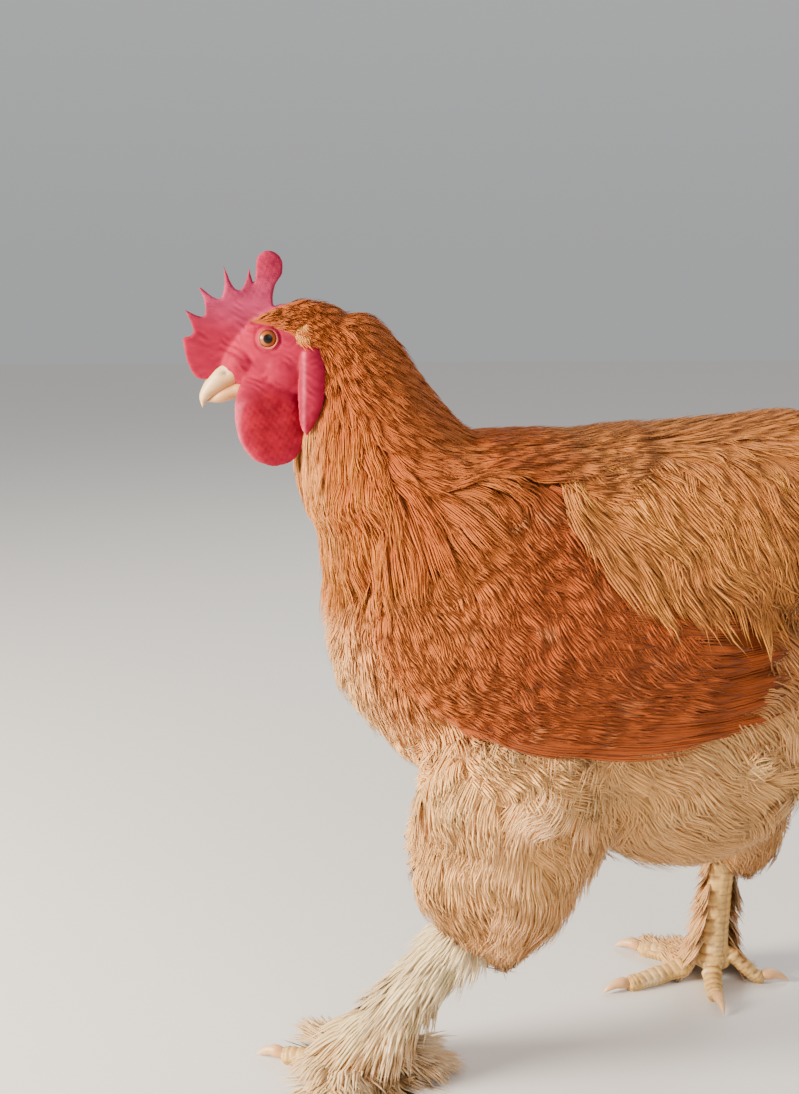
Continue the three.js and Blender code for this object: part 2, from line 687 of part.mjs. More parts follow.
// The part of an eye that shows: a dome on a flat back.
function eyeDome(side, further = 0) {
  const rim = EYE.radius + further;
  const top = EYE.height + further;
  const outline = [
    [0, -further], [rim, -further], [0.88 * rim, 0.42 * top], [0.56 * rim, 0.78 * top], [0, top],
  ];
  const profile = outline.map(([r, h]) => new THREE.Vector2(r, h));
  const dome = new THREE.LatheGeometry(profile, 10).rotateZ(-Math.PI / 2);
  if (side < 0) dome.rotateZ(Math.PI);
  return solid(dome.translate(side * EYE.x, EYE.y, EYE.z));
}

// Two slots at the root of the beak.
const nostril = (side) =>
  solid(new THREE.SphereGeometry(1, 6, 4).scale(2.2, 2.8, 1.3).translate(side * 7.4, -47.5, 456.6));

// The lie of a foot's feathers: a bell round the shank that opens outwards to the toes.
// Its core is the same form at CORE_SHARE of the size, closed at both ends.
function bellForm({ side, shank, bell }, share) {
  const radii = bell.map((r) => r * share);
  const aside = (radius) => 0.75 * (radius - 8.5 * share);
  return tubeForm({
    path: shank.slice(1, 6).map(([x, y, z], i) => [x + side * aside(radii[i]), y, z]),
    across: radii,
    high: radii,
    up: V(0, -1, 0),
  });
}

function bellCore(leg) {
  const bell = bellForm(leg, CORE_SHARE);
  return (u, angle) => {
    const s = 0.02 + 0.72 * u;
    const middle = bell(s, 0).add(bell(s, Math.PI)).multiplyScalar(0.5);
    return middle.clone().lerp(bell(s, angle), Math.sqrt(Math.min(1, 30 * u, 9 * (1 - u))));
  };
}

function bellFeathers(leg) {
  const bell = bellForm(leg, 1);
  const reach = degrees(BELL_TURNS[1] - BELL_TURNS[0]);
  return BELL_TIERS.flatMap(({ u, count, length }, tier) => {
    const radius = bell(u, 0).distanceTo(bell(u, Math.PI)) / 2;
    const tipRadius = bell(u + 0.18, 0).distanceTo(bell(u + 0.18, Math.PI)) / 2;
    return Array.from({ length: count }, (_, i) => {
      const turn = degrees(BELL_TURNS[0]) + (reach * (i + (tier % 2 ? 0.6 : 0.2))) / count;
      return laidVane(bell, {
        u, angle: leg.side > 0 ? Math.PI - turn : turn, du: 1, da: 0, length: length * vary(0.08),
        width: (1.1 * reach * tipRadius) / count, rise: 5, depth: 1.75 * (1 - CORE_SHARE) * radius + ROOT,
        push: overFloor,
      });
    });
  });
}

function overFloor(point) {
  point.z = Math.max(point.z, FLOOR_CLEAR);
  return point;
}

// A feather on the outer edge of a toe, level with the floor.
function edgeVane({ root, way, length, layer }) {
  const start = root.clone().addScaledVector(way, -ROOT);
  const steps = HACKLE_SHAPE.length + 1;
  const spine = Array.from({ length: steps + 1 }, (_, k) => {
    const point = start.clone().addScaledVector(way, ((length + ROOT) * k) / steps);
    point.z = Math.max(lerp(point.z, FLOOR_CLEAR + LAYER * layer, k / steps), FLOOR_CLEAR);
    return point;
  });
  return { spine, facings: spine.map(() => V(0, 0, 1)), width: TOE_VANE, shape: HACKLE_SHAPE };
}

// Feathers along the outer edge of a toe.
function toeFeathers({ side }, path, count) {
  const curve = new THREE.CatmullRomCurve3(path.map((p) => V(...p)));
  return Array.from({ length: count }, (_, i) => {
    const turn = degrees(lerp(10, -40, i / count));
    return edgeVane({
      root: curve.getPoint(lerp(0.35, 0.8, i / count)),
      way: V(side * Math.cos(turn), Math.sin(turn), 0),
      length: lerp(38, 24, i / count) * vary(0.08),
      layer: i % 3,
    });
  });
}

const bird = new THREE.Group();

// Adds a finished solid to the bird as its own named mesh.
function addNode(name, body, color, roughness = 0.85) {
  const { numProp, numVert, vertProperties, triVerts } = largest(body).getMesh();
  const points = new Float32Array(numVert * 3);
  for (let i = 0; i < numVert; i += 1) {
    points.set(vertProperties.subarray(i * numProp, i * numProp + 3), i * 3);
  }
  const geometry = new THREE.BufferGeometry();
  geometry.setAttribute("position", new THREE.BufferAttribute(points, 3));
  geometry.setIndex(new THREE.BufferAttribute(triVerts, 1));
  geometry.computeVertexNormals();
  const material = new THREE.MeshStandardMaterial({ color, roughness, metalness: 0 });
  const mesh = new THREE.Mesh(geometry, material);
  mesh.name = name;
  bird.add(mesh);
}

// The trunk's nodes. Each is cut clear of those named before it, and long feathers that
// lie over a neighbour are led over it first.
function addTrunk() {
  const wingRooms = [1, -1].map((side) => solid(wingMesh(WING_ROOM, side, WING_DEPTH + GAP)));
  const tail = tailFeathers();
  const tailRoom = roomOf(tail).add(tailCut);
  const saddle = saddleFeathers();
  const saddleRoom = roomOf(saddle).add(saddleCut);
  const saddleVanes = cutBy(fused(saddle.map((f) => feather(f))), [...wingRooms, tailRoom]);
  const hackleVanes = cutBy(fused(hackles().map((f) => feather(f))), [
    ...wingRooms, saddleRoom, headCut, ...faceCuts,
  ]);
  addNode("torso", solid(torsoMesh), BUFF);
  addNode("saddle", cutBy(solid(saddleMesh).add(saddleVanes), [torsoCut]), GOLD);
  addNode("neck", cutBy(solid(neckMesh).add(hackleVanes), [torsoCut]), GOLD);
  const tailWhole = fused([solid(tailMesh), ...tail.map((f) => feather(f))]);
  addNode("tail", cutBy(tailWhole, [torsoCut, saddleCut]), CHESTNUT);
  for (const [name, side] of [["left", 1], ["right", -1]]) {
    const vanes = wingFeathers(side).map((f) => feather(f));
    const wing = fused([solid(wingMesh(WING_CORE, side, 0)), ...vanes]);
    addNode("wing_" + name, cutBy(wing, [torsoCut, saddleCut, neckCut]), CHESTNUT);
    addNode("thigh_" + name, cutBy(solid(thighMesh[name]), [torsoCut, ...wingRooms]), CREAM);
  }
}

function addHead() {
  const relief = [1, -1].flatMap((side) => [lids(side), earTuft(side)]);
  const sockets = [1, -1].map((side) => eyeDome(side, GAP));
  const skull = cutBy(fused([solid(headMesh), ...relief]), [neckCut, ...sockets]);
  addNode("head", skull, RED, 0.6);
  addNode("beak_upper", cutBy(solid(upperBeakMesh), [headCut, nostril(1), nostril(-1)]), HORN, 0.45);
  addNode("beak_lower", cutBy(solid(lowerBeakMesh), [headCut, upperBeakCut]), HORN, 0.45);
  addNode("comb", cutBy(makeComb(), [headCut, upperBeakCut]), RED, 0.6);
  const around = [headCut, neckCut, lowerBeakCut, upperBeakCut];
  [["left", 1], ["right", -1]].forEach(([name, side], i) => {
    const lobe = cutBy(solid(lobeMeshes[i]), [...around, earTuft(side, GAP)]);
    addNode("eye_" + name, eyeDome(side), YELLOW, 0.1);
    addNode("earlobe_" + name, lobe, RED, 0.6);
    addNode("wattle_" + name, cutBy(solid(wattleMeshes[i]), [...around, faceCuts[i]]), RED, 0.6);
  });
}

// Legs: toes, claws and feathers of each foot, then the shank that they meet.
function addLegs() {
  for (const [name, leg] of Object.entries(LEGS)) {
    const thighCut = solid(grown(thighMesh[name]));
    const shankMesh = meshOf(shankForm(leg), SHANK_RINGS, 10);
    const bellMesh = meshOf(bellCore(leg), 8, 10);
    const shankCut = solid(grown(shankMesh)).add(solid(grown(bellMesh)));
    const taken = [];
    leg.toes.forEach((path, i) => {
      const toeMesh = meshOf(toeForm(path, i === 0 ? 0.85 * TOE_RADIUS : TOE_RADIUS), TOE_RINGS, 6);
      const coat = i < 2 ? [] : toeFeathers(leg, path, i === 2 ? 2 : 3);
      const clawMesh = meshOf(clawForm(path), 5, 6);
      const toeCut = solid(grown(toeMesh));
      const clawCut = solid(grown(clawMesh));
      const vanes = coat.map((f) => feather(f).subtract(clawCut));
      const toe = cutBy(fused([solid(toeMesh), ...vanes]), [shankCut, ...taken, floorCut]);
      addNode(`toe_${name}_${i + 1}`, toe, YELLOW, 0.6);
      addNode(`claw_${name}_${i + 1}`, cutBy(solid(clawMesh), [toeCut, floorCut]), HORN, 0.45);
      taken.push(toeCut, clawCut);
      if (coat.length) taken.push(roomOf(coat));
    });
    const coat = fused(bellFeathers(leg).map((f) => feather(f)));
    const shank = fused([solid(shankMesh), solid(bellMesh), cutBy(coat, taken)]);
    addNode("shank_" + name, cutBy(shank, [thighCut, torsoCut, floorCut]), YELLOW, 0.6);
  }
}

addTrunk();
addHead();
addLegs();

const box = new THREE.Box3().setFromObject(bird);
const middle = box.getCenter(V());
bird.position.set(-middle.x, -middle.y, -box.min.z);

export default bird;
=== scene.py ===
# %% [markdown]
# # A buff feather-legged rooster
# The bird walks to the left of the picture with its head up. Its solids come in as a fixed
# frame at their real size. Over them go one skin, eyes, a beak, scaled feet and a coat of
# several thousand feathers, each a small fan of tapered strands laid along the body.

import bpy
import numpy as np
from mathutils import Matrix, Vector
from mathutils.bvhtree import BVHTree


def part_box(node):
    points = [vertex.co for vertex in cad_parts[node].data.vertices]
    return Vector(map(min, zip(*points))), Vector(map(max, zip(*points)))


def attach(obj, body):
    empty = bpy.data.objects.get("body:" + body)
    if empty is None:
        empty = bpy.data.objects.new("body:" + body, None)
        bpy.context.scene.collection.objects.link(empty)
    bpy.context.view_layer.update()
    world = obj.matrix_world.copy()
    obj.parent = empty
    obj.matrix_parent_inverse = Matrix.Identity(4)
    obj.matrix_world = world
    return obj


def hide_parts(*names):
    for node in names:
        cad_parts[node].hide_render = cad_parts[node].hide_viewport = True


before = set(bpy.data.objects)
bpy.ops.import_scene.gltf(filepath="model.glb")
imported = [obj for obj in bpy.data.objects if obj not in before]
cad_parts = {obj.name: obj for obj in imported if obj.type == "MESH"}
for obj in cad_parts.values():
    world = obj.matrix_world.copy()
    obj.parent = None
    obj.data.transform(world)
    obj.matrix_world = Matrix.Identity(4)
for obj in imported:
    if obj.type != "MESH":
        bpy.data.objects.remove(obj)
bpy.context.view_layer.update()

SIDES = {"left": 1, "right": -1}

# %% [markdown]
# The bird was drawn in millimetres with its middle plane at x = 0, facing -Y. The frame
# only slides that drawing along the floor, so one known place, the eye, tells how far.
# Everything below is worked out in the drawing's millimetres and moved at the very end.

# %% From the drawing's millimetres to the frame's metres
PER_METRE = 1000
EYE = np.array([13.4, -20.6, 477.6])
EYE_CORNERS = np.array([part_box("eye_left"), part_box("eye_right")]).reshape(-1, 3) * PER_METRE
SHIFT = (EYE_CORNERS.mean(0) - EYE) * [0, 1, 0] + EYE_CORNERS.mean(0) * [1, 0, 0]


def to_frame(points):
    """Drawing millimetres to frame metres."""
    return (np.asarray(points, float) + SHIFT) / PER_METRE


print("the drawing is moved by", SHIFT.round(2))

# %% [markdown]
# ## Smooth curves and forms
# A living body has no straight lines, so every outline here is a smooth curve through a
# few stations. A body form hangs between two such rails in the side view; a leg or toe is
# a tube round a path. Both are functions of how far along (0 to 1) and which way round.

# %% Curves through stations


def smooth(stations, u):
    """Catmull-Rom curve through evenly spaced stations, for whole arrays of u from 0 to 1."""
    s = np.asarray(stations, float)
    s = s[:, None] if s.ndim == 1 else s
    padded = np.vstack([2 * s[0] - s[1], s, 2 * s[-1] - s[-2]])
    x = np.clip(u, 0, 1) * (len(s) - 1)
    i = np.minimum(x.astype(int), len(s) - 2)
    t = (x - i)[..., None]
    a, b, c, d = (padded[i + k] for k in range(4))
    return b + 0.5 * t * ((c - a) + t * ((2 * a - 5 * b + 4 * c - d) + t * (3 * b - a - 3 * c + d)))


def smooth_value(stations, u):
    """The same curve through plain values."""
    return smooth(stations, u)[..., 0]


def unit(v):
    """Vectors brought to length 1."""
    return v / np.maximum(np.linalg.norm(v, axis=-1, keepdims=True), 1e-9)


def paired(u, angle):
    """How far along and which way round, as arrays of one shape."""
    return np.broadcast_arrays(np.asarray(u, float), np.asarray(angle, float))


def rail_form(top, bottom, half, lateral=0.0, square=1.0):
    """Sections between a top and a bottom rail in y and z, half wide each way from lateral."""

    def corner(v):
        return np.sign(v) * np.abs(v) ** square

    def form(u, angle):
        u, angle = paired(u, angle)
        t, b = smooth(top, u), smooth(bottom, u)
        width = np.maximum(smooth_value(half, u), 0)
        middle = smooth_value(lateral, u) if np.ndim(lateral) else lateral
        yz = (t + b) / 2 + (t - b) / 2 * corner(np.sin(angle))[..., None]
        return np.concatenate([(middle + width * corner(np.cos(angle)))[..., None], yz], -1)

    return form


def tube_form(path, across, high, up=(0, 0, 1)):
    """Sections round a path: half width across it, half height along up."""

    def form(u, angle):
        u, angle = paired(u, angle)
        here = smooth(path, u)
        ahead = unit(smooth(path, np.clip(u + 0.002, 0, 1)) - smooth(path, np.clip(u - 0.002, 0, 1)))
        side = unit(np.cross(ahead, up))
        rise = np.cross(side, ahead)
        wide = np.maximum(smooth_value(across, u), 0)
        tall = np.maximum(smooth_value(high, u), 0)
        return here + side * (wide * np.cos(angle))[..., None] + rise * (tall * np.sin(angle))[..., None]

    return form


# %% [markdown]
# ## From arrays to meshes
# A closed form becomes rings of points with a pole at each end. The arrays go into the
# mesh in one call each, which stays quick even for the coat's hundreds of thousands of
# points. Each finished piece sits at the origin and rides on the one body of a still model.

# %% Mesh makers
PAINT = "plumage"


def mesh_of(name, points, faces):
    """A mesh from drawing points and a list of face arrays, each with one row a face."""
    mesh = bpy.data.meshes.new(name)
    faces = [np.asarray(f, np.int32) for f in faces if len(f)]
    sizes = np.concatenate([np.full(len(f), f.shape[1]) for f in faces])
    corners = np.concatenate([f.ravel() for f in faces])
    mesh.vertices.add(len(points))
    mesh.vertices.foreach_set("co", to_frame(points).astype(np.float32).ravel())
    mesh.loops.add(len(corners))
    mesh.loops.foreach_set("vertex_index", corners)
    mesh.polygons.add(len(sizes))
    mesh.polygons.foreach_set("loop_start", np.concatenate([[0], np.cumsum(sizes)[:-1]]))
    mesh.update(calc_edges=True)
    mesh.validate()
    mesh.shade_smooth()
    return mesh


def closed_form(form, rings=30, sides=40):
    """Points and faces of a form closed by a pole at each end, facing out."""
    u = np.linspace(0, 1, rings + 1)[1:-1]
    angle = 2 * np.pi * np.arange(sides) / sides
    body = form(u[:, None], angle[None, :]).reshape(-1, 3)
    points = np.vstack([form(0.0, 0.0)[None], body, form(1.0, 0.0)[None]])
    j = np.arange(sides)
    k = (j + 1) % sides
    i = np.arange(rings - 2)[:, None] * sides + 1
    quads = np.stack([i + j, i + sides + j, i + sides + k, i + k], -1).reshape(-1, 4)
    last = len(points) - 1
    first_cap = np.stack([0 * j, 1 + j, 1 + k], -1)
    last_cap = np.stack([last - sides + j, 0 * j + last, last - sides + k], -1)
    caps = np.vstack([first_cap, last_cap])
    if volume_of(points, quads, caps) < 0:
        quads, caps = quads[:, ::-1], caps[:, ::-1]
    return points, quads, caps


def volume_of(points, quads, tris):
    """Six times the signed volume, positive where the faces point out.

    It is the sum, over all triangles, of the first corner times the cross product of the others.
    """
    all_tris = np.vstack([tris, quads[:, [0, 1, 2]], quads[:, [0, 2, 3]]])
    a, b, c = (points[all_tris[:, k]] for k in range(3))
    return np.einsum("ij,ij->", a, np.cross(b, c))


def joined(solids):
    """Several solids' points, quads and triangles as one solid's."""
    starts = np.cumsum([0] + [len(points) for points, _, _ in solids])
    points = np.vstack([points for points, _, _ in solids])
    quads = np.vstack([quads + start for (_, quads, _), start in zip(solids, starts)])
    tris = np.vstack([tris + start for (_, _, tris), start in zip(solids, starts)])
    return points, [quads, tris]


def add_object(name, mesh):
    piece = bpy.data.objects.new(name, mesh)
    bpy.context.scene.collection.objects.link(piece)
    return piece


def dress(piece, slot, *materials, replaces=()):
    """Gives a finished piece its materials and its body, and hides the solids that it stands for. The
    slot is not used.
    """
    piece.data.materials.clear()
    for material in materials:
        piece.data.materials.append(material)
    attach(piece, "root")
    if replaces:
        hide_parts(*replaces)
    print(piece.name, len(piece.data.polygons), "faces")
    return piece


def melted(name, forms, voxel, passes):
    """One closed surface round several closed forms, by a voxel remesh, then smoothed."""
    rough = add_object(name, mesh_of(name, *joined(forms)))
    remesh = rough.modifiers.new("melt", "REMESH")
    remesh.mode = "VOXEL"
    remesh.voxel_size = voxel / PER_METRE
    soften = rough.modifiers.new("soften", "SMOOTH")
    soften.iterations = passes
    return settled(rough)


def settled(piece):
    """Applies a piece's modifiers."""
    graph = bpy.context.evaluated_depsgraph_get()
    mesh = bpy.data.meshes.new_from_object(piece.evaluated_get(graph))
    piece.modifiers.clear()
    old = piece.data
    piece.data = mesh
    bpy.data.meshes.remove(old)
    mesh.shade_smooth()
    return piece


def points_of(mesh):
    """A mesh's points in drawing millimetres."""
    co = np.empty((len(mesh.vertices), 3), np.float32)
    mesh.vertices.foreach_get("co", co.ravel())
    return co.astype(float) * PER_METRE - SHIFT


def move_points(mesh, points):
    mesh.vertices.foreach_set("co", to_frame(points).astype(np.float32).ravel())
    mesh.update()


def normals_of(mesh):
    out = np.empty((len(mesh.vertices), 3), np.float32)
    mesh.vertex_normals.foreach_get("vector", out.ravel())
    return out.astype(float)


def corners_of(mesh):
    """Which point each corner of each face stands on."""
    corners = np.empty(len(mesh.loops), np.int32)
    mesh.loops.foreach_get("vertex_index", corners)
    return corners


def paint(mesh, colours):
    """Keeps a colour for every point of a mesh."""
    layer = mesh.color_attributes.new(PAINT, "FLOAT_COLOR", "POINT")
    rgba = np.ones((len(mesh.vertices), 4), np.float32)
    rgba[:, :3] = colours
    layer.data.foreach_set("color", rgba.ravel())


# %% [markdown]
# ## Seeing as the photograph does
# The camera stands on the bird's left, a little above its back and turned a few degrees,
# and looks down on it. The frame cuts off the tail and the last feathers of the near foot.

# %% Camera
CAMERA_AT = (863.5, 0.0, 528.0)
PITCH = np.radians(12)
YAW = np.radians(4)
LENS_PX = 1380.0
FRAME_PX = (799, 1094)
SENSOR = 36.0
NEAR_CLIP = 0.05


def add_camera():
    """A camera at the photograph's place. The lens follows from the long side's pixels."""
    camera = bpy.data.cameras.new("camera")
    camera.sensor_width = SENSOR
    camera.lens = LENS_PX / max(FRAME_PX) * SENSOR
    camera.clip_start = NEAR_CLIP
    stand = add_object("camera", camera)
    stand.location = Vector(to_frame(CAMERA_AT))
    ahead = Vector((-np.cos(PITCH) * np.cos(YAW), np.cos(PITCH) * np.sin(YAW), -np.sin(PITCH)))
    stand.rotation_euler = ahead.to_track_quat("-Z", "Y").to_euler()
    bpy.context.scene.camera = stand
    print("lens", round(camera.lens, 2), "mm")


add_camera()

# %% [markdown]
# ## Soft studio light
# The photograph's sun comes low from in front of the bird and lights its breast and
# forward leg, while the near side lies in open shade. Three large soft lamps and a pale
# room do the same without hard shadows.

# %% Floor, room and lamps
FLOOR_HALF = 6.0
FLOOR_COLOUR = (0.68, 0.66, 0.63, 1)
FLOOR_ROUGHNESS = 0.85
ROOM_COLOUR = (0.97, 0.98, 1.0, 1)
ROOM_RANGE = {"From Min": 0.0, "From Max": 0.5, "To Min": 0.43, "To Max": 0.6}
LAMPS = {
    "sun_side": {
        "at": (0.4, -1.65, 0.72), "aim": (0, -0.1, 0.18), "size": 0.7, "power": 122,
        "colour": (1.0, 0.91, 0.76),
    },
    "near_side": {
        "at": (1.9, 0.7, 1.4), "aim": (0, 0, 0.25), "size": 1.8, "power": 21,
        "colour": (1.0, 0.97, 0.93),
    },
    "far_side": {
        "at": (-1.3, 1.1, 1.6), "aim": (0, 0, 0.3), "size": 1.4, "power": 26,
        "colour": (1.0, 0.97, 0.94),
    },
}


def add_lamp(name, at, aim, size, power, colour):
    lamp = bpy.data.lights.new(name, "AREA")
    lamp.shape = "DISK"
    lamp.size = size
    lamp.energy = power
    lamp.color = colour
    stand = add_object(name, lamp)
    stand.location = Vector(at)
    stand.rotation_euler = (Vector(aim) - Vector(at)).to_track_quat("-Z", "Y").to_euler()


def add_floor():
    corners = np.array([(-1, -1), (1, -1), (1, 1), (-1, 1)]) * FLOOR_HALF
    points = np.column_stack([corners, np.zeros(4)]) * PER_METRE - SHIFT
    floor = add_object("floor", mesh_of("floor", points, [[[0, 1, 2, 3]]]))
    material = bpy.data.materials.new("floor")
    material.use_nodes = True
    shader = material.node_tree.nodes["Principled BSDF"]
    shader.inputs["Base Color"].default_value = FLOOR_COLOUR
    shader.inputs["Roughness"].default_value = FLOOR_ROUGHNESS
    floor.data.materials.append(material)


def add_room():
    """A pale room that is a little brighter overhead than at the horizon."""
    world = bpy.data.worlds.new("room")
    bpy.context.scene.world = world
    world.use_nodes = True
    tree = world.node_tree
    ways = tree.nodes.new("ShaderNodeTexCoord")
    height = tree.nodes.new("ShaderNodeSeparateXYZ")
    room = tree.nodes.new("ShaderNodeMapRange")
    for socket, value in ROOM_RANGE.items():
        room.inputs[socket].default_value = value
    tree.links.new(ways.outputs["Generated"], height.inputs[0])
    tree.links.new(height.outputs["Z"], room.inputs["Value"])
    tree.links.new(room.outputs[0], tree.nodes["Background"].inputs["Strength"])
    tree.nodes["Background"].inputs["Color"].default_value = ROOM_COLOUR


add_floor()
add_room()
for name, facts in LAMPS.items():
    add_lamp(name, **facts)

# %% [markdown]
# ## Colours
# Buff is not one colour: the hackle is orange-gold with lighter tips, the wing a deeper
# red-orange, the saddle a dull gold, and the fluff below runs out to cream. Each is kept
# as a real colour, and every point takes a mixture of them by where on the bird it is.

# %% Plumage colours


def colour(red, green, blue):
    """A colour as a picture shows it, 0 to 255, turned into the light that it gives back."""
    c = np.array([red, green, blue]) / 255
    return np.where(c <= 0.04045, c / 12.92, ((c + 0.055) / 1.055) ** 2.4)


NAPE = colour(176, 98, 45)
HACKLE = colour(168, 82, 30)
HACKLE_TIP = colour(212, 134, 48)
WING = colour(164, 78, 31)
WING_FRONT = colour(175, 95, 39)
WING_FLECK = colour(212, 148, 94)
SADDLE = colour(178, 108, 52)
SADDLE_TIP = colour(228, 158, 70)
BREAST = colour(190, 108, 48)
BREAST_TIP = colour(208, 138, 74)
CREAM = colour(255, 213, 146)
DOWN = colour(242, 178, 106)
HOCK = colour(212, 132, 58)
TAIL = colour(168, 92, 42)
FOOT = colour(255, 221, 166)
FOOT_SHADE = colour(250, 190, 120)
ROSE = colour(150, 16, 50)
SCARLET = colour(136, 3, 30)
PALE_ROSE = colour(206, 84, 106)
COMB_ROSE = colour(156, 44, 78)
LID = colour(196, 116, 92)
THROAT = colour(216, 146, 80)


def mix(a, b, share):
    """Colours between a, where the share is 0, and b, where it is 1."""
    share = np.clip(share, 0, 1)[..., None]
    return a * (1 - share) + b * share


def rise_between(value, low, high):
    """0 below low, 1 above high, and an even curve between.

    The curve is three times the square of the share of the way, less twice its cube.
    """
    t = np.clip((value - low) / (high - low), 0, 1)
    return t * t * (3 - 2 * t)


# %% [markdown]
# ## A soft, seeded unevenness
# Nothing on a bird repeats exactly. A few waves in fixed random directions, added up, give
# every place its own value between about -1 and 1, and the same value on each run.

# %% Waves


def swell(points, size, seed, waves=7):
    """Smooth uneven values over the drawing's space, with bumps about size across."""
    draw = np.random.default_rng(seed)
    ways = unit(draw.normal(size=(waves, 3))) * 2 * np.pi / (size * draw.uniform(0.7, 1.6, (waves, 1)))
    phases = draw.uniform(0, 2 * np.pi, waves)
    return np.sin(points @ ways.T + phases).sum(-1) / np.sqrt(waves) / 1.2


# %% [markdown]
# ## The body's forms
# These are the same rails that the solids have. The skin lies inside them by the depth of
# the coat, and the feathers bring it back out to the true outline.

# %% Body forms
TORSO = rail_form(
    top=[(9, 300), (17, 340), (52, 366), (100, 386), (160, 394), (225, 396), (285, 402), (332, 398),
         (357, 345)],
    bottom=[(9, 300), (15, 258), (42, 224), (84, 186), (140, 158), (200, 132), (262, 126), (325, 182),
            (357, 345)],
    half=[0, 42, 70, 87, 96, 99, 98, 82, 0],
    square=0.9,
)
SADDLE_FORM = rail_form(
    top=[(133, 392), (150, 410), (188, 417), (232, 421), (282, 425), (322, 428), (348, 404)],
    bottom=[(133, 392), (142, 360), (176, 322), (226, 300), (280, 296), (322, 320), (348, 404)],
    half=[0, 64, 98, 109, 108, 84, 0],
    square=0.85,
)
NAPE_RAIL = [(14, 488), (40, 492), (59, 473), (73, 453), (86, 435), (100, 420)]
THROAT_RAIL = [(14, 488), (4, 468), (-2, 440), (-5, 416), (-5, 396)]
NECK_HALF = [0, 19, 25, 33, 44]
NECK = rail_form(
    top=NAPE_RAIL + [(110, 402), (84, 350)],
    bottom=THROAT_RAIL + [(0, 376), (20, 352), (84, 350)],
    half=NECK_HALF + [57, 60, 0],
)
BACK = rail_form(
    top=[(84, 408), (100, 415), (122, 417), (148, 417), (175, 415), (196, 412)],
    bottom=[(84, 408), (94, 385), (120, 370), (148, 370), (175, 380), (196, 412)],
    half=[0, 54, 67, 77, 75, 0],
)
TAIL_CORE = rail_form(
    top=[(322, 398), (334, 432), (354, 450), (378, 464), (396, 434)],
    bottom=[(322, 398), (332, 352), (354, 362), (380, 380), (396, 434)],
    half=[0, 37, 34, 29, 0],
)
THIGHS = {
    "left": rail_form(
        top=[(128, 262), (82, 246), (60, 208), (55, 170), (58, 136), (82, 100), (124, 66)],
        bottom=[(128, 262), (186, 246), (202, 205), (194, 168), (178, 132), (156, 94), (124, 66)],
        half=[0, 40, 46, 43, 37, 25, 0],
        lateral=[58, 60, 62, 62, 60, 57, 55],
    ),
    "right": rail_form(
        top=[(250, 262), (204, 240), (214, 200), (226, 164), (244, 132), (276, 100), (322, 74)],
        bottom=[(250, 262), (304, 250), (338, 215), (350, 180), (354, 146), (348, 106), (322, 74)],
        half=[0, 38, 43, 40, 34, 24, 0],
        lateral=[-58, -60, -62, -61, -58, -55, -53],
    ),
}
HOCKS = {"left": np.array([55, 124, 66.0]), "right": np.array([-53, 322, 74.0])}
COAT_DEPTH = {"torso": 9.0, "thigh": 11.0, "core": 1.5}


def shrunk(form, depth, rings=30, sides=40):
    """A form's closed mesh, drawn in by the coat's depth."""
    points, quads, tris = closed_form(form, rings, sides)
    mesh = mesh_of("shrunk", points, [quads, tris])
    drawn_in = points - normals_of(mesh) * depth
    bpy.data.meshes.remove(mesh)
    return drawn_in, quads, tris


# %% [markdown]
# ## Comb, wattles and lobes
# A single comb is a thin upright blade with five points and a rounded lobe behind. Its
# outline is drawn flat and given thickness that falls away to the points. The wattles are
# hanging discs, and the ear lobes long flat ones behind them.

# %% Head furnishings
COMB_RUNS = [
    [(-14, 486), (-17.5, 497), (-16.5, 508), (-11.5, 517), (-12.5, 526), (-19.5, 530), (-26, 526.5),
     (-27.5, 518), (-28.5, 509.5), (-30, 512), (-31.5, 520)],
    [(-31.5, 520), (-34, 511), (-37.5, 506), (-42, 509), (-47, 521.5)],
    [(-47, 521.5), (-46.8, 510), (-49, 501.5), (-54, 502), (-63.5, 509.5)],
    [(-63.5, 509.5), (-59.5, 500), (-59, 491.5), (-63, 490.5), (-71.5, 494.5)],
    [(-71.5, 494.5), (-67.5, 486), (-67, 479.5), (-73.2, 477.5)],
    [(-73.2, 477.5), (-72, 469), (-69.5, 460), (-64.5, 453), (-58, 452.5), (-52, 457), (-44, 464),
     (-30, 472), (-16, 478), (-14, 486)],
]
COMB_THICK = 8.0
COMB_STEP = 1.4


def comb_form():
    """The comb's outline as two faces and a wall, thinner towards its points."""
    ring = []
    for run in COMB_RUNS:
        long = np.linalg.norm(np.diff(run, axis=0), axis=-1).sum()
        ring.append(smooth(run, np.linspace(0, 1, int(long / COMB_STEP), endpoint=False)))
    ring = np.vstack(ring)
    rise = np.clip((ring[:, 1] - 470 - 0.6 * (ring[:, 0] + 40)) / 50, 0, 1)
    half = COMB_THICK / 2 * (1 - 0.55 * rise)
    near = np.column_stack([half, ring])
    far = np.column_stack([-half, ring])
    n = len(ring)
    j = np.arange(n)
    k = (j + 1) % n
    return np.vstack([near, far]), np.stack([j, n + j, n + k, k], -1), [j, n + j[::-1]]


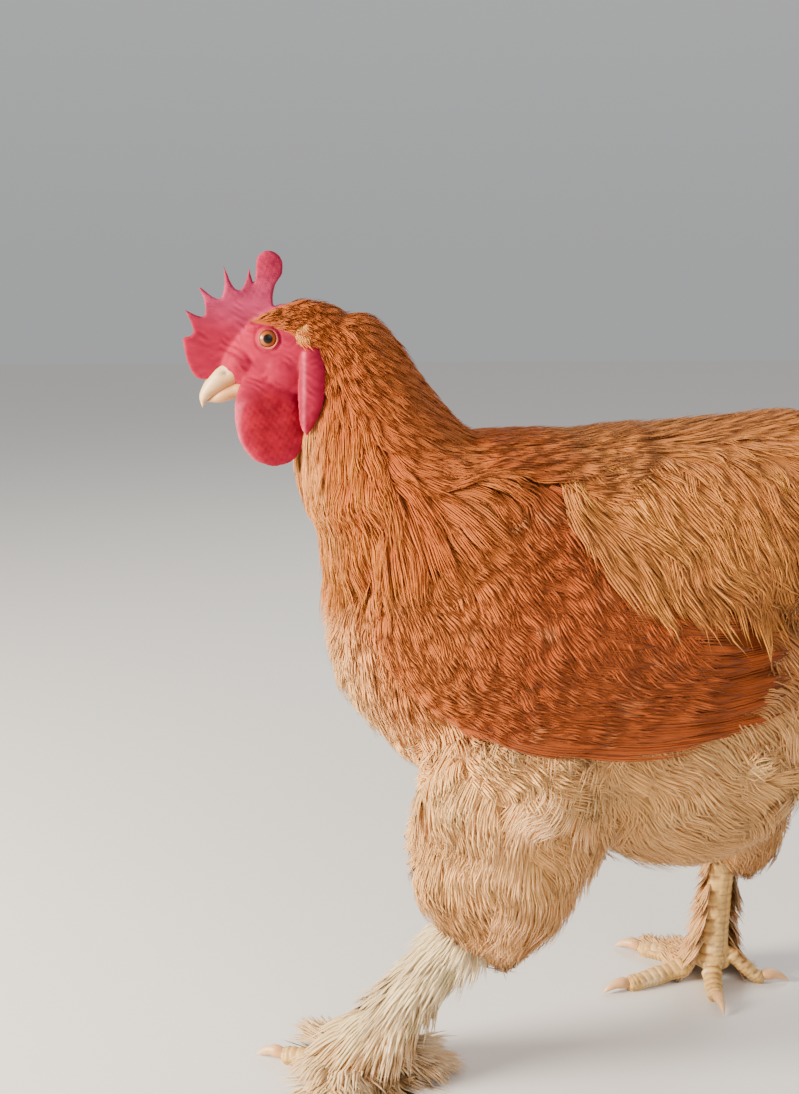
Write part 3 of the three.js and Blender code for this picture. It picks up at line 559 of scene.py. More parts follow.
WATTLES = {
    name: rail_form(
        top=[(-24, 456), (-7, 449), (-1, 434), (1, 420), (-1.5, 409), (-8, 402), (-18, 399)],
        bottom=[(-24, 456), (-37, 452), (-42, 437), (-41.5, 424), (-38, 412), (-30, 403), (-18, 399)],
        half=[0, 3.7, 3.6, 3.3, 2.8, 2.2, 0],
        lateral=[side * x for x in (11, 12, 13.5, 14.5, 14.5, 14.5, 14)],
    )
    for name, side in SIDES.items()
}
LOBES = {
    name: rail_form(
        top=[(8, 477), (13, 466), (14, 452), (12, 438), (7, 426), (2, 418)],
        bottom=[(8, 477), (0, 468), (-3, 452), (-3, 438), (-2, 426), (2, 418)],
        half=[0, 2.5, 3, 3, 2.5, 0],
        lateral=[side * x for x in (19, 21.5, 23, 23.5, 23, 22)],
    )
    for name, side in SIDES.items()
}
HEAD = rail_form(
    top=[(34, 468), (24, 493), (2, 499), (-18, 496), (-34, 485), (-46, 470), (-52, 459)],
    bottom=[(34, 468), (22, 448), (4, 436), (-16, 435), (-32, 442), (-44, 450), (-52, 459)],
    half=[0, 17.5, 20.5, 18, 13.5, 9, 0],
)

# %% [markdown]
# ## One skin
# All flesh is one closed surface, so no seam shows between head, neck, body and thighs.
# A voxel remesh melts overlapping forms into one. The face needs finer points than the
# body, so the two are melted apart and then united.

# %% Melt the body and the head, and unite them
BODY_VOXEL = 3.5
HEAD_VOXEL = 0.9
FULLNESS = {
    "cheek": ((11, -9, 460), (9, 17, 15)),
    "brow": ((8.5, -22, 484), (7, 13, 5)),
    "beak's root": ((8, -35, 463), (6.5, 10, 8)),
}
SHOULDER = ((60, 70, 325), (24, 32, 48))


def flat_solid(points, walls, ends):
    """Triangulates the two flat faces of an outline's solid."""
    mesh = bpy.data.meshes.new("flat")
    faces = [list(map(int, f)) for f in walls] + [list(map(int, f)) for f in ends]
    mesh.from_pydata([tuple(p) for p in points], [], faces)
    mesh.calc_loop_triangles()
    tris = np.array([t.vertices[:] for t in mesh.loop_triangles], int)
    bpy.data.meshes.remove(mesh)
    if volume_of(points, np.zeros((0, 4), int), tris) < 0:
        tris = tris[:, ::-1]
    return points, np.zeros((0, 4), int), tris


def body_skin():
    """The body without its head, drawn in by the coat's depth."""
    core = COAT_DEPTH["core"]
    forms = [
        shrunk(TORSO, COAT_DEPTH["torso"], rings=40, sides=48),
        shrunk(SADDLE_FORM, core),
        shrunk(NECK, core),
        shrunk(BACK, core + 1, rings=20, sides=30),
        shrunk(TAIL_CORE, core, rings=20, sides=30),
    ]
    forms += [shrunk(THIGHS[name], COAT_DEPTH["thigh"], rings=30, sides=36) for name in SIDES]
    (x, y, z), radii = SHOULDER
    forms += [ball((side * x, y, z), radii) for side in SIDES.values()]
    return melted("skin", forms, BODY_VOXEL, 6)


def ball(centre, radii, rings=14, sides=20):
    """A closed ellipsoid."""

    def form(u, angle):
        u, angle = paired(u, angle)
        polar = np.pi * u
        p = np.stack([np.sin(polar) * np.cos(angle), np.sin(polar) * np.sin(angle), np.cos(polar)], -1)
        return np.asarray(centre, float) + p * radii

    return closed_form(form, rings, sides)


def head_skin():
    """Head, comb, wattles and lobes, with soft fullness over cheek, brow and beak's root."""
    forms = [closed_form(HEAD, rings=40, sides=48), flat_solid(*comb_form())]
    for name, side in SIDES.items():
        forms.append(closed_form(WATTLES[name], rings=30, sides=30))
        forms.append(closed_form(LOBES[name], rings=30, sides=24))
        forms += [ball((side * x, y, z), radii) for (x, y, z), radii in FULLNESS.values()]
    return melted("head_skin", forms, HEAD_VOXEL, 5)


def united(base, other):
    """One closed mesh from two."""
    union = base.modifiers.new("unite", "BOOLEAN")
    union.operation = "UNION"
    union.solver = "MANIFOLD"
    union.object = other
    settled(base)
    bpy.data.objects.remove(other)
    return base


skin = united(body_skin(), head_skin())
print("skin", len(skin.data.vertices), "points")

# %% [markdown]
# The face is sculpted on the melted surface: a hollow for each eye inside a ring of lids,
# fine folds round the nostrils and over the cheek, and a wavy rim on comb and wattles.

# %% Sculpt the face
LID_RADIUS = 5.6
SOCKET_DEPTH = 3.4
LID_RIM = 1.0
LID_CREASE = 0.5
FACE_FOLD = 0.3
FOLD_PITCH = 4.6
NOSTRIL_RIPPLE = 0.35
RIPPLE_PITCH = 5.0
COMB_GRAIN = 0.12
COMB_WAVE = 1.6


def sculpt_face(mesh):
    """Moves the bare skin's points along their normals, and waves comb and wattles sideways."""
    points = points_of(mesh)
    normals = normals_of(mesh)
    bare = red_share(points)
    side = np.sign(points[:, 0])
    across = np.hypot(points[:, 1] - EYE[1], points[:, 2] - EYE[2])
    beside = rise_between(np.abs(points[:, 0]), 9, 12)
    socket = -SOCKET_DEPTH * (1 - rise_between(across, 3.2, LID_RADIUS)) * beside
    rim = LID_RIM * np.exp(-(((across - LID_RADIUS - 0.2) / 0.9) ** 2)) * beside
    crease = -LID_CREASE * np.exp(-(((across - LID_RADIUS - 2.2) / 0.9) ** 2)) * beside
    slope = points[:, 2] + 0.35 * points[:, 1] + 2.2 * swell(points, 14, seed=21)
    folds = FACE_FOLD * np.sin(2 * np.pi * slope / FOLD_PITCH)
    folds *= rise_between(swell(points, 16, seed=22), -0.6, 0.8)
    by_nostril = np.exp(-((np.hypot(points[:, 1] + 44, points[:, 2] - 468) / 9) ** 2))
    off_nostril = np.hypot(points[:, 1] + 47, points[:, 2] - 456)
    ripple = NOSTRIL_RIPPLE * np.sin(2 * np.pi * off_nostril / RIPPLE_PITCH) * by_nostril
    lift = socket + rim + crease + (folds + ripple) * rise_between(across, LID_RADIUS, 10)
    hanging = np.maximum(rise_between(-points[:, 2], -446, -436), rise_between(points[:, 2], 497, 503))
    grain = COMB_GRAIN * swell(points, 3.0, seed=23)
    lift = lift * (1 - hanging) + grain * hanging
    points += normals * (lift * bare)[:, None]
    wave = COMB_WAVE * swell(points * [0, 1, 1], 26, seed=25) * hanging * bare
    points[:, 0] += np.where(points[:, 2] > 470, wave, side * np.abs(wave) * 0.6)
    move_points(mesh, points)


def red_share(points):
    """1 where the head is bare and red, 0 where feathers grow."""
    x, y, z = np.abs(points[..., 0]), points[..., 1], points[..., 2]
    heights = [432, 440, 452, 464, 474, 480, 484, 488, 492]
    edge = np.interp(z, heights, [6, 13, 14, 9, 2, -6, -13, -32, -37])
    face = (1 - rise_between(y - edge, -1.2, 1.2)) * rise_between(z, 433, 437)
    comb = (1 - rise_between(x, 4.8, 6.0)) * rise_between(z - 0.25 * (y + 40), 484, 488) * (y < -9)
    before = np.interp(z, [404, 412, 436, 446], [-2, 0, 0.3, 2.5])
    wattle = rise_between(x, 8.5, 9.5) * (1 - rise_between(x, 18.8, 19.6))
    wattle *= (z > 397) * (z < 450) * (y < before)
    behind = np.interp(z, [416, 426, 438, 452, 466, 477], [3, 8, 13, 15, 14, 9])
    lobe = rise_between(x, 18.5, 20) * (1 - rise_between(y - behind, -0.5, 0.5))
    lobe *= (z > 416) * (z < 474) * (y > -6)
    return np.maximum.reduce([face, comb, wattle, lobe])


sculpt_face(skin.data)

# %% [markdown]
# ## Materials
# Effects that several materials share are node groups, built once. One gives the fine
# streaks of feather barbs, from noise drawn out along the bird's length; the other the
# pebbled surface of comb and face.

# %% Node helpers and shared groups


def node(tree, kind, links=(), **values):
    """Adds a node, sets its properties and plain sockets, and links sockets by name."""
    made = tree.nodes.new(kind)
    for key, value in values.items():
        if hasattr(made, key):
            setattr(made, key, value)
        else:
            made.inputs[key.replace("_", " ")].default_value = value
    for socket, source in dict(links).items():
        tree.links.new(source, made.inputs[socket])
    return made


def grain_group(name, stretch, detail):
    """Noise over the object, stretched, as a value round 1 and a height."""
    group = bpy.data.node_groups.new(name, "ShaderNodeTree")
    for label, kind in (("Scale", "NodeSocketFloat"), ("Amount", "NodeSocketFloat")):
        group.interface.new_socket(label, in_out="INPUT", socket_type=kind)
    for label in ("Tone", "Height"):
        group.interface.new_socket(label, in_out="OUTPUT", socket_type="NodeSocketFloat")
    start = group.nodes.new("NodeGroupInput")
    end = group.nodes.new("NodeGroupOutput")
    place = node(group, "ShaderNodeTexCoord")
    turned = node(group, "ShaderNodeMapping", {"Vector": place.outputs["Object"]}, Scale=stretch)
    noise = node(
        group, "ShaderNodeTexNoise",
        {"Vector": turned.outputs[0], "Scale": start.outputs["Scale"]}, Detail=detail,
    )
    low = node(group, "ShaderNodeMath", {1: start.outputs["Amount"]}, operation="SUBTRACT")
    high = node(group, "ShaderNodeMath", {1: start.outputs["Amount"]}, operation="ADD")
    low.inputs[0].default_value = high.inputs[0].default_value = 1.0
    spread = node(
        group, "ShaderNodeMapRange",
        {"Value": noise.outputs["Fac"], "To Min": low.outputs[0], "To Max": high.outputs[0]},
        From_Min=0.3, From_Max=0.7,
    )
    group.links.new(spread.outputs[0], end.inputs["Tone"])
    group.links.new(noise.outputs["Fac"], end.inputs["Height"])
    return group


BARBS = grain_group("feather barbs", (1.0, 0.45, 1.0), 6.0)
PEBBLE = grain_group("pebbled skin", (1.0, 1.0, 1.0), 4.0)


def toned(tree, base, tone):
    """A colour multiplied by a value."""
    tint = node(tree, "ShaderNodeVectorMath", {0: base}, operation="SCALE")
    tree.links.new(tone, tint.inputs["Scale"])
    return tint.outputs[0]


def painted_material(name, grain, scale, amount, bump=None, **sockets):
    """A mesh's own painted colours, made uneven by a grain, which may also stand up as a bump.

    The scale and the amount are the grain's; bump holds its strength and its height in metres.
    """
    material = bpy.data.materials.new(name)
    material.use_nodes = True
    tree = material.node_tree
    shader = tree.nodes["Principled BSDF"]
    for key, value in sockets.items():
        shader.inputs[key.replace("_", " ")].default_value = value
    kept = node(tree, "ShaderNodeAttribute", attribute_name=PAINT)
    uneven = node(tree, "ShaderNodeGroup", node_tree=grain, Scale=scale, Amount=amount)
    tone = toned(tree, kept.outputs["Color"], uneven.outputs["Tone"])
    tree.links.new(tone, shader.inputs["Base Color"])
    if bump:
        strength, distance = bump
        raised = node(
            tree, "ShaderNodeBump", {"Height": uneven.outputs["Height"]},
            Strength=strength, Distance=distance,
        )
        tree.links.new(raised.outputs[0], shader.inputs["Normal"])
    return material


def feather_material(name, scale=220.0, amount=0.16, downy=0.0):
    """Plumage streaked by barbs, with a faint sheen. Light goes a little way into down."""
    return painted_material(
        name, BARBS, scale, amount, (0.35, 0.0006), Roughness=0.72, Sheen_Weight=0.03,
        Sheen_Roughness=0.4, Subsurface_Weight=downy, Subsurface_Scale=0.006,
        Subsurface_Radius=(1.0, 0.75, 0.55), Specular_IOR_Level=0.12,
    )


UNDER_DOWN = feather_material("under down", scale=160.0, amount=0.2)
RED_SKIN = painted_material(
    "red skin", PEBBLE, 420.0, 0.1, (0.25, 0.0006), Roughness=0.52, Subsurface_Weight=0.15,
    Subsurface_Scale=0.003, Subsurface_Radius=(1.0, 0.25, 0.15), Specular_IOR_Level=0.25,
)

# %% [markdown]
# ## Markings
# Skin and coat take their colours from one place, so that a gap in the feathers never
# shows a wrong tone. It is a mixture by height and by how far back a point lies: most of
# the numbers in it are places in the drawing's millimetres, y towards the tail and z up,
# and the others are slopes and shares.

# %% Colours by place


def markings(points):
    """Buff over the back, gold to orange on the neck, cream below."""
    y, z = points[..., 1], points[..., 2]
    low = rise_between(-z, -268 - 0.1 * (y - 60), -228 - 0.1 * (y - 60))
    buff = mix(BREAST, DOWN, low)
    # Painted sunlight: cream over the lower front of the breast, where the front light falls.
    front = rise_between(-y, -48, -14) * (1 - rise_between(z, 245, 345))
    buff = mix(buff, CREAM, 0.6 * front)
    throat = 1 - rise_between(y - 0.12 * (450 - z), 0, 14)
    neck = rise_between(z, 335 + 20 * throat, 372 + 20 * throat) * rise_between(-y, -165, -125)
    orange = mix(HACKLE, NAPE, rise_between(y - 0.55 * (500 - z), -5, 40))
    buff = mix(buff, mix(orange, THROAT, 0.85 * throat * (1 - rise_between(z, 455, 470))), neck)
    back = rise_between(y, 130, 165) * rise_between(z, 290, 330)
    return mix(buff, SADDLE, back)


def red_tones(points):
    """Rose on face and comb, scarlet in the wattles' middle, paler on rims, ridge and lids."""
    x, y, z = np.abs(points[:, 0]), points[:, 1], points[:, 2]
    in_comb = rise_between(z + 0.3 * (y + 50), 476, 500) * (1 - 0.6 * rise_between(z, 506, 520))
    in_comb *= 1 - rise_between(x, 5, 9)
    tone = mix(ROSE, COMB_ROSE, in_comb)
    off_middle = np.hypot((y + 19) / 21, (z - 425) / 27)
    wattle = (x > 8.5) * (z < 452) * (1 - rise_between(y, 0, 3))
    tone = mix(tone, SCARLET, wattle * (1 - rise_between(off_middle, 0.55, 1.05)))
    rim = rise_between(off_middle, 0.86, 1.02) * rise_between(-z, -444, -434) * rise_between(-y, 18, 30)
    tone = mix(tone, PALE_ROSE, 0.6 * wattle * rim)
    ridge = np.exp(-(((y - 0.5 - 0.02 * (z - 440)) / 1.1) ** 2)) * (x > 20) * (z < 470)
    tone = mix(tone, PALE_ROSE, 0.7 * ridge)
    across = np.hypot(y - EYE[1], z - EYE[2])
    lid = np.exp(-(((across - LID_RADIUS + 0.2) / 0.55) ** 2)) * (x > 12)
    tone = mix(tone, LID, lid * (0.4 + 0.4 * rise_between(-z, -480, -476)))
    return mix(tone, tone * 0.86, rise_between(swell(points, 18, seed=31), -0.2, 1.2))


def colour_skin(mesh):
    """Paints the skin, and gives its bare faces the second material."""
    points = points_of(mesh)
    red = red_share(points)
    paint(mesh, mix(markings(points), red_tones(points), red))
    starts = np.empty(len(mesh.polygons), np.int32)
    mesh.polygons.foreach_get("loop_start", starts)
    bare = red[corners_of(mesh)[starts]] > 0.5
    mesh.polygons.foreach_set("material_index", bare.astype(np.int32))


colour_skin(skin.data)
FLESH = ["torso", "neck", "head", "comb"]
FLESH += [f"{part}_{name}" for part in ("thigh", "wattle", "earlobe") for name in SIDES]
dress(skin, "red_skin", UNDER_DOWN, RED_SKIN, replaces=FLESH)

# %% [markdown]
# ## How a feather is made
# A feather here is a fan of narrow strands that share its root. Each strand is a tapered
# three-sided bar, flat below and ridged above, as barbs are. Side by side they read as one
# vane, and their free ends give a soft edge. Only the stiff feathers of wing and tail have
# a thin plain vane under their strands, so that nothing shows through them.

# %% Strands along paths


def along_paths(paths, share):
    """Points at shares (n, m, s) of the way along n paths of k stations each."""
    n, k, _ = paths.shape
    x = np.clip(share, 0, 1) * (k - 1)
    i = np.minimum(x.astype(int), k - 2)
    t = (x - i)[..., None]
    row = np.arange(n)[:, None, None]
    return paths[row, i] * (1 - t) + paths[row, i + 1] * t


def strands(paths, facings, plan, draw):
    """Points (n, m, 3 s - 2, 3) of the fans that follow the paths: rings of three and a tip.

    The half width of a fan grows from its root to its middle; each strand keeps its own
    share of it, is shorter the further out it lies, and tapers to a point.
    """
    n = len(paths)
    m, s = plan["strands"], plan["stations"]
    lateral = np.linspace(-1, 1, m) if m > 1 else np.zeros(1)
    lateral = lateral[None, :] + draw.uniform(-0.5, 0.5, (n, m)) * (1.2 / max(m, 2)) * (m > 1)
    reach = 1 - plan["point"] * np.abs(lateral) ** 1.6
    reach *= 1 - plan["ragged"] * draw.uniform(0, 1, (n, m))
    t = np.linspace(0, 1, s)
    share = reach[..., None] * t
    middle = along_paths(paths, share)
    facing = unit(along_paths(facings, share))
    ahead = unit(along_paths(paths, share + 0.04) - along_paths(paths, share - 0.04))
    side = unit(np.cross(ahead, facing))
    half = plan["half"][:, None, None]
    opening = plan["waist"] + (1 - plan["waist"]) * np.sin(np.pi / 2 * np.clip(1.7 * t, 0, 1))
    closing = 1 - plan["close"] * rise_between(share, 0.5, 1.0)
    wander = plan["stray"] * draw.normal(size=(n, m, 1)) * half * t**2
    offset = half * lateral[..., None] * opening * closing + wander
    lift = plan["lift"] * draw.normal(size=(n, m, 1)) * half * t**2
    camber = -plan["camber"] * half * (lateral**2)[..., None] * t
    centre = middle + side * offset[..., None] + facing * (lift + camber + plan["above"])[..., None]
    blade = plan["blade"] * half / m * np.clip(1.2 * (1 - t**2.2), 0, 1) * (0.6 + 0.4 * opening)
    edge = side * blade[..., None]
    ridge = facing * (plan["thick"] * (1 - 0.7 * t))[..., None]
    rings = np.stack([centre - edge, centre + edge, centre + ridge], 3)[:, :, :-1]
    return np.concatenate([rings.reshape(n, m, -1, 3), centre[:, :, -1:]], 2), share, lateral


def strand_faces(count, stations):
    """Faces of `count` strands, each rings of three, closed by a root face and a tip."""
    ring = np.arange(3)
    following = (ring + 1) % 3
    base = (np.arange(stations - 2) * 3)[:, None]
    quads = np.stack([base + ring, base + following, base + 3 + following, base + 3 + ring], -1)
    quads = quads.reshape(-1, 4)
    last = (stations - 2) * 3
    tip = np.stack([last + ring, last + following, 0 * ring + last + 3], -1)
    tris = np.vstack([[[0, 2, 1]], tip])
    start = (np.arange(count) * (3 * stations - 2))[:, None, None]
    return (start + quads).reshape(-1, 4), (start + tris).reshape(-1, 3)


# %% [markdown]
# All the fans of one region are joined into one mesh, with a colour for each point. A
# second map, OFBake, gives every feather a tiny patch at its root's place on the region's
# unwrap, so that a baked picture of the coat keeps its colours in order.

# %% Join fans into a coat
PATCH = 0.003


def round_rings(values):
    """Values for each station of each strand, given to all its ring's points and to its tip."""
    rings = np.repeat(values[:, :, :-1], 3, 2)
    return np.concatenate([rings, values[:, :, -1:]], 2).reshape(-1, values.shape[-1])


def patch_map(share, lateral, place):
    """Map places of the stations: across and along a small patch round each feather's place."""
    across = lateral[:, :, None] * 0.5 + np.zeros_like(share)
    patch = place[:, None, None, :] + PATCH * np.stack([across, share - 0.5], -1)
    return np.clip(patch, 0, 1)


def coat_mesh(name, sets, core=None, core_colour=None):
    """One mesh of all sets of fans, and of a closed form under them if one is given."""
    solids, colours, places = [], [], []
    for fan, share, lateral, place, tone in sets:
        n, m, s = share.shape
        solids.append((fan.reshape(-1, 3), *strand_faces(n * m, s)))
        colours.append(round_rings(tone))
        places.append(round_rings(patch_map(share, lateral, place)))
    if core is not None:
        at = core[0]
        solids.append(core)
        colours.append(np.broadcast_to(core_colour, at.shape))
        low, high = at[:, 1:].min(0), at[:, 1:].max(0)
        places.append((at[:, 1:] - low) / (high - low))
    mesh = mesh_of(name, *joined(solids))
    paint(mesh, np.vstack(colours))
    layer = mesh.uv_layers.new(name="OFBake")
    layer.uv.foreach_set("vector", np.vstack(places)[corners_of(mesh)].astype(np.float32).ravel())
    return mesh


# %% [markdown]
# ## How feathers are laid
# Roots are spread evenly over a form, row by row, each row shifted and jittered. From its
# root a feather walks over the skin in short steps: it goes the way the plumage flows
# there, is dropped back onto the skin, and rises a little more with every step.

# %% Roots and walks
ROOT_GRID = (200, 48)
FULL = (0, 2 * np.pi)


def spread_roots(form, spacing, u_range, angle_range, draw):
    """Shares and angles of roots about `spacing` apart."""
    grid = np.linspace(*u_range, ROOT_GRID[0])
    sides = np.linspace(*angle_range, ROOT_GRID[1])
    surface = form(grid[:, None], sides[None, :])
    step_u = np.linalg.norm(np.diff(surface, axis=0), axis=-1).mean(1)
    travelled = np.concatenate([[0], np.cumsum(step_u)])
    rows = np.arange(spacing / 2, travelled[-1], spacing)
    found = []
    for u in np.interp(rows, travelled, grid):
        ring = form(u, sides)
        step = np.linalg.norm(np.diff(ring, axis=0), axis=-1)
        round_it = np.concatenate([[0], np.cumsum(step)])
        places = np.arange(draw.uniform(0, spacing), round_it[-1], spacing)
        angle = np.interp(places, round_it, sides)
        found.append(np.column_stack([np.full(len(angle), u), angle]))
    roots = np.vstack(found)
    wobble = draw.uniform(-0.45, 0.45, roots.shape) * spacing
    roots[:, 0] += wobble[:, 0] * (u_range[1] - u_range[0]) / travelled[-1]
    bit = 0.05
    moved = form(roots[:, 0], roots[:, 1] + bit) - form(roots[:, 0], roots[:, 1])
    roots[:, 1] += wobble[:, 1] / np.maximum(np.linalg.norm(moved, axis=-1) / bit, 1)
    roots[:, 0] = np.clip(roots[:, 0], 0.002, 0.998)
    return roots


def tree_of(mesh):
    points = points_of(mesh)
    return BVHTree.FromPolygons(
        [tuple(p) for p in points], [tuple(f.vertices) for f in mesh.polygons], epsilon=0.0,
    )


def nearest(tree, points):
    """The nearest places on a surface, their normals and how far away they are."""
    places = np.empty_like(points)
    normals = np.empty_like(points)
    gaps = np.empty(len(points))
    for i, p in enumerate(points):
        place, normal, _, gap = tree.find_nearest(Vector(p))
        places[i], normals[i], gaps[i] = place, normal, gap
    return places, normals, gaps


def walk(tree, roots, flow, length, heights, steps):
    """Paths of feathers over a surface: n paths of steps + 1 stations, and the way each faces."""
    places, normals, _ = nearest(tree, roots)
    path, facings = [places + normals * heights[:, :1]], [normals]
    for k in range(steps):
        way = flow(places)
        way = unit(way - normals * np.einsum("ij,ij->i", way, normals)[:, None])
        places, turned, _ = nearest(tree, places + way * (length / steps)[:, None])
        normals = unit(0.5 * normals + 0.5 * turned)
        path.append(places + normals * heights[:, k + 1 : k + 2])
        facings.append(normals)
    return np.stack(path, 1), np.stack(facings, 1)


SKIN_TREE = tree_of(skin.data)
print("the coat is laid on", len(skin.data.polygons), "faces")

# %% [markdown]
# ## One coat from one plan
# A plan names what a coat's feathers are like: how many strands, how pointed, how much
# they lift and stray. The coat takes its colours from where each feather stands, with
# painted shade at the root (painted light where a plan makes the root brighter than 1),
# and lighter or warmer towards the tip.

# %% Lay a coat
SEEDS = {
    "breast": 101, "belly": 102, "thigh": 110, "hackle": 130, "crown": 136, "back": 137, "tuft": 138,
    "saddle": 140, "wing": 150, "coverts": 155, "tail": 160, "tail_fill": 165, "foot": 170,
}
PLAN = {
    # How many strands a fan has, stations a strand, and steps a path
    "strands": 8, "stations": 4, "steps": 5,
    # What an outer and an uneven strand lack of the length
    "point": 0.2, "ragged": 0.25,
    # The root's share of the width, and what the tip loses of it
    "waist": 0.45, "close": 0.0,
    # How far strands stray sideways, lift and droop at the edges, as shares of the half width
    "stray": 0.1, "lift": 0.06, "camber": 0.1,
    # A strand's width as a share of its room, and its height in millimetres
    "blade": 1.35, "thick": 0.3,
    # In millimetres: the fan over its path, the root under the skin, the tip over it
    "above": 0.0, "sink": 2.0, "rise": 3.0,
    # How far the flow sways, over how many millimetres, and a feather's own turn
    "ruffle": 0.15, "clump": 26.0, "turn": 0.1,
    # The furthest that a root may lie from the surface, in millimetres
    "far": 3.5,
    # Unevenness of tone, share of the tip's colour, and brightness at the root: under 1 painted shade,
    # over 1 painted light
    "tone": 0.05, "tip": 0.6, "root": 0.8,
    # Whether a plain vane lies under the strands
    "vane": False,
}
VANE_GAP = 0.2
VANE_REACH = 0.94
VANE_SHADE = 0.9
VANE_ONLY = {"strands": 1, "point": 0, "ragged": 0, "blade": 0.86, "thick": 0.25, "stray": 0, "lift": 0}


def fans(paths, facings, plan, draw, colours_of, place):
    """The strands of every path, over a plain vane in a stiff feather, as sets for coat_mesh."""
    sets = []
    if plan["vane"]:
        points, share, lateral = strands(paths, facings, {**plan, **VANE_ONLY}, draw)
        tone = colours_of(share, lateral) * VANE_SHADE
        sets.append((points, share * VANE_REACH, lateral, place, tone))
    above = VANE_GAP * plan["vane"]
    points, share, lateral = strands(paths, facings, {**plan, "above": above}, draw)
    sets.append((points, share, lateral, place, colours_of(share, lateral)))
    return sets


def lay_coat(
    name, seed, form, tree, *, spacing, u_range, flow, size, tips, angle_range=FULL, keep=None,
    roots_of=markings, **changes,
):
    """Feathers over one form, as one piece. The changes are made to PLAN.

    Each of flow, size, tips, keep and roots_of takes places and gives, for every one, the way
    a feather goes, its length and width, its tip's colour, whether it is there at all, and
    its root's colour.
    """
    plan = {**PLAN, **changes}
    draw = np.random.default_rng(seed)
    roots = spread_roots(form, spacing, u_range, angle_range, draw)
    at = form(roots[:, 0], roots[:, 1])
    kept = nearest(tree, at)[2] < plan["far"]
    if keep is not None:
        kept &= keep(at)
    roots, at = roots[kept], at[kept]
    length, width = size(at)
    length = length * draw.uniform(0.85, 1.12, len(at))
    plan["half"] = width * draw.uniform(0.85, 1.15, len(at)) / 2
    t = np.linspace(0, 1, plan["steps"] + 1)
    loose = plan["rise"] * draw.uniform(0.55, 1.2, (len(at), 1))
    heights = -plan["sink"] + (plan["sink"] + loose) * np.sin(np.pi / 2 * t)
    turn = draw.normal(size=(len(at), 3)) * plan["turn"]

    def swayed(places):
        sway = np.stack([swell(places, plan["clump"], seed + k) for k in range(3)], -1)
        return unit(flow(places)) + plan["ruffle"] * sway + turn

    paths, facings = walk(tree, at, swayed, length, heights, plan["steps"])
    root_colour = roots_of(at)[:, None, None]
    tip_colour = tips(paths[:, -1])[:, None, None]
    own_tone = 1 + plan["tone"] * draw.normal(size=(len(at), 1, 1, 1))
    patches = 1 + plan["tone"] * swell(at, 40, seed + 5)[:, None, None, None]

    def colours_of(share, lateral):
        blend = (plan["tip"] * rise_between(share, 0.3, 1.0))[..., None]
        strand_tone = 1 + 0.5 * plan["tone"] * draw.normal(size=lateral.shape)[..., None, None]
        # Painted shade at the root, where the feathers above overlap it; painted light where
        # plan['root'] is over 1.
        shade = plan["root"] + (1 - plan["root"]) * rise_between(share, 0.1, 0.65)[..., None]
        tone = own_tone * patches * strand_tone * shade
        return np.clip((root_colour * (1 - blend) + tip_colour * blend) * tone, 0, 1)

    span = angle_range[1] - angle_range[0]
    place = np.column_stack([(roots[:, 1] - angle_range[0]) / span, roots[:, 0]]) * 0.99 + 0.005
    return add_object(name, coat_mesh(name, fans(paths, facings, plan, draw, colours_of, place)))


def sized(length, width):
    """The same length and width everywhere."""
    return lambda points: (np.full(len(points), float(length)), np.full(len(points), float(width)))


def streaming(out, ahead, rise):
    """One way to go on each side of the middle plane: outwards, backwards and up."""
    return lambda points: np.sign(points[:, :1]) * [out, 0, 0] + [0, ahead, rise]


# %% [markdown]
# ## Breast, belly and thighs
# Short rounded feathers cover the breast and run back towards the legs. From there on, and
# on the thighs, they turn to fluff: long loose strands with no clear vane.

# %% Breast and belly
BREAST_FEATHERS = feather_material("breast feathers", amount=0.12)
FLUFF = feather_material("loose fluff", scale=150.0, amount=0.08, downy=0.3)
# The root brightness over 1 is painted light, which lifts the shade in the gaps between strands.
LOOSE = {
    "strands": 16, "point": 0.15, "ragged": 0.4, "waist": 0.3, "close": -0.25, "stray": 0.13,
    "lift": 0.08, "blade": 1.3, "thick": 0.1, "sink": 1.5, "rise": 9.0, "ruffle": 0.65,
    "turn": 0.22, "clump": 44.0, "far": 16, "root": 1.2, "tip": 0.75,
}


def torso_flow(points):
    """Down over the breast, back along the belly, down again round the rump."""
    y = points[:, 1]
    front = 1 - rise_between(y, 40, 130)
    rear = rise_between(y, 230, 330)
    way = np.zeros_like(points)
    way[:, 1] = 0.35 * front + 0.9 * (1 - front) * (1 - rear) + 0.45 * rear
    way[:, 2] = -1.0 * front - 0.45 * (1 - front) * (1 - rear) - 0.9 * rear
    return way


def outside_wing(points):
    """True where the folded wing and the saddle leave the body's side open."""
    y, z = points[:, 1], points[:, 2]
    edge = np.interp(y, [40, 60, 90, 130, 240, 270, 300], [350, 310, 268, 252, 250, 300, 345])
    return (z < edge + 12) | (y < 62) | (y > 320)


def breast_tips(points):
    """Painted sunlight in cream along the lower front edge; cream low down, and orange-buff above and
    behind.
    """
    y, z = points[:, 1], points[:, 2]
    # Painted sunlight: the cream front edge stands for the low front light.
    edge = 0.8 * (1 - rise_between(y, 16, 44)) * (1 - rise_between(z, 255, 350))
    low = 1 - rise_between(z, 215, 262)
    return mix(BREAST_TIP, CREAM, np.maximum(edge, low))


def down_tips(points):
    """Cream clouds over buff."""
    cloud = rise_between(swell(points, 46, seed=63), -0.9, 0.7)
    low = rise_between(points[:, 2], 135, 200)
    return mix(DOWN, CREAM, cloud * (0.35 + 0.65 * low))


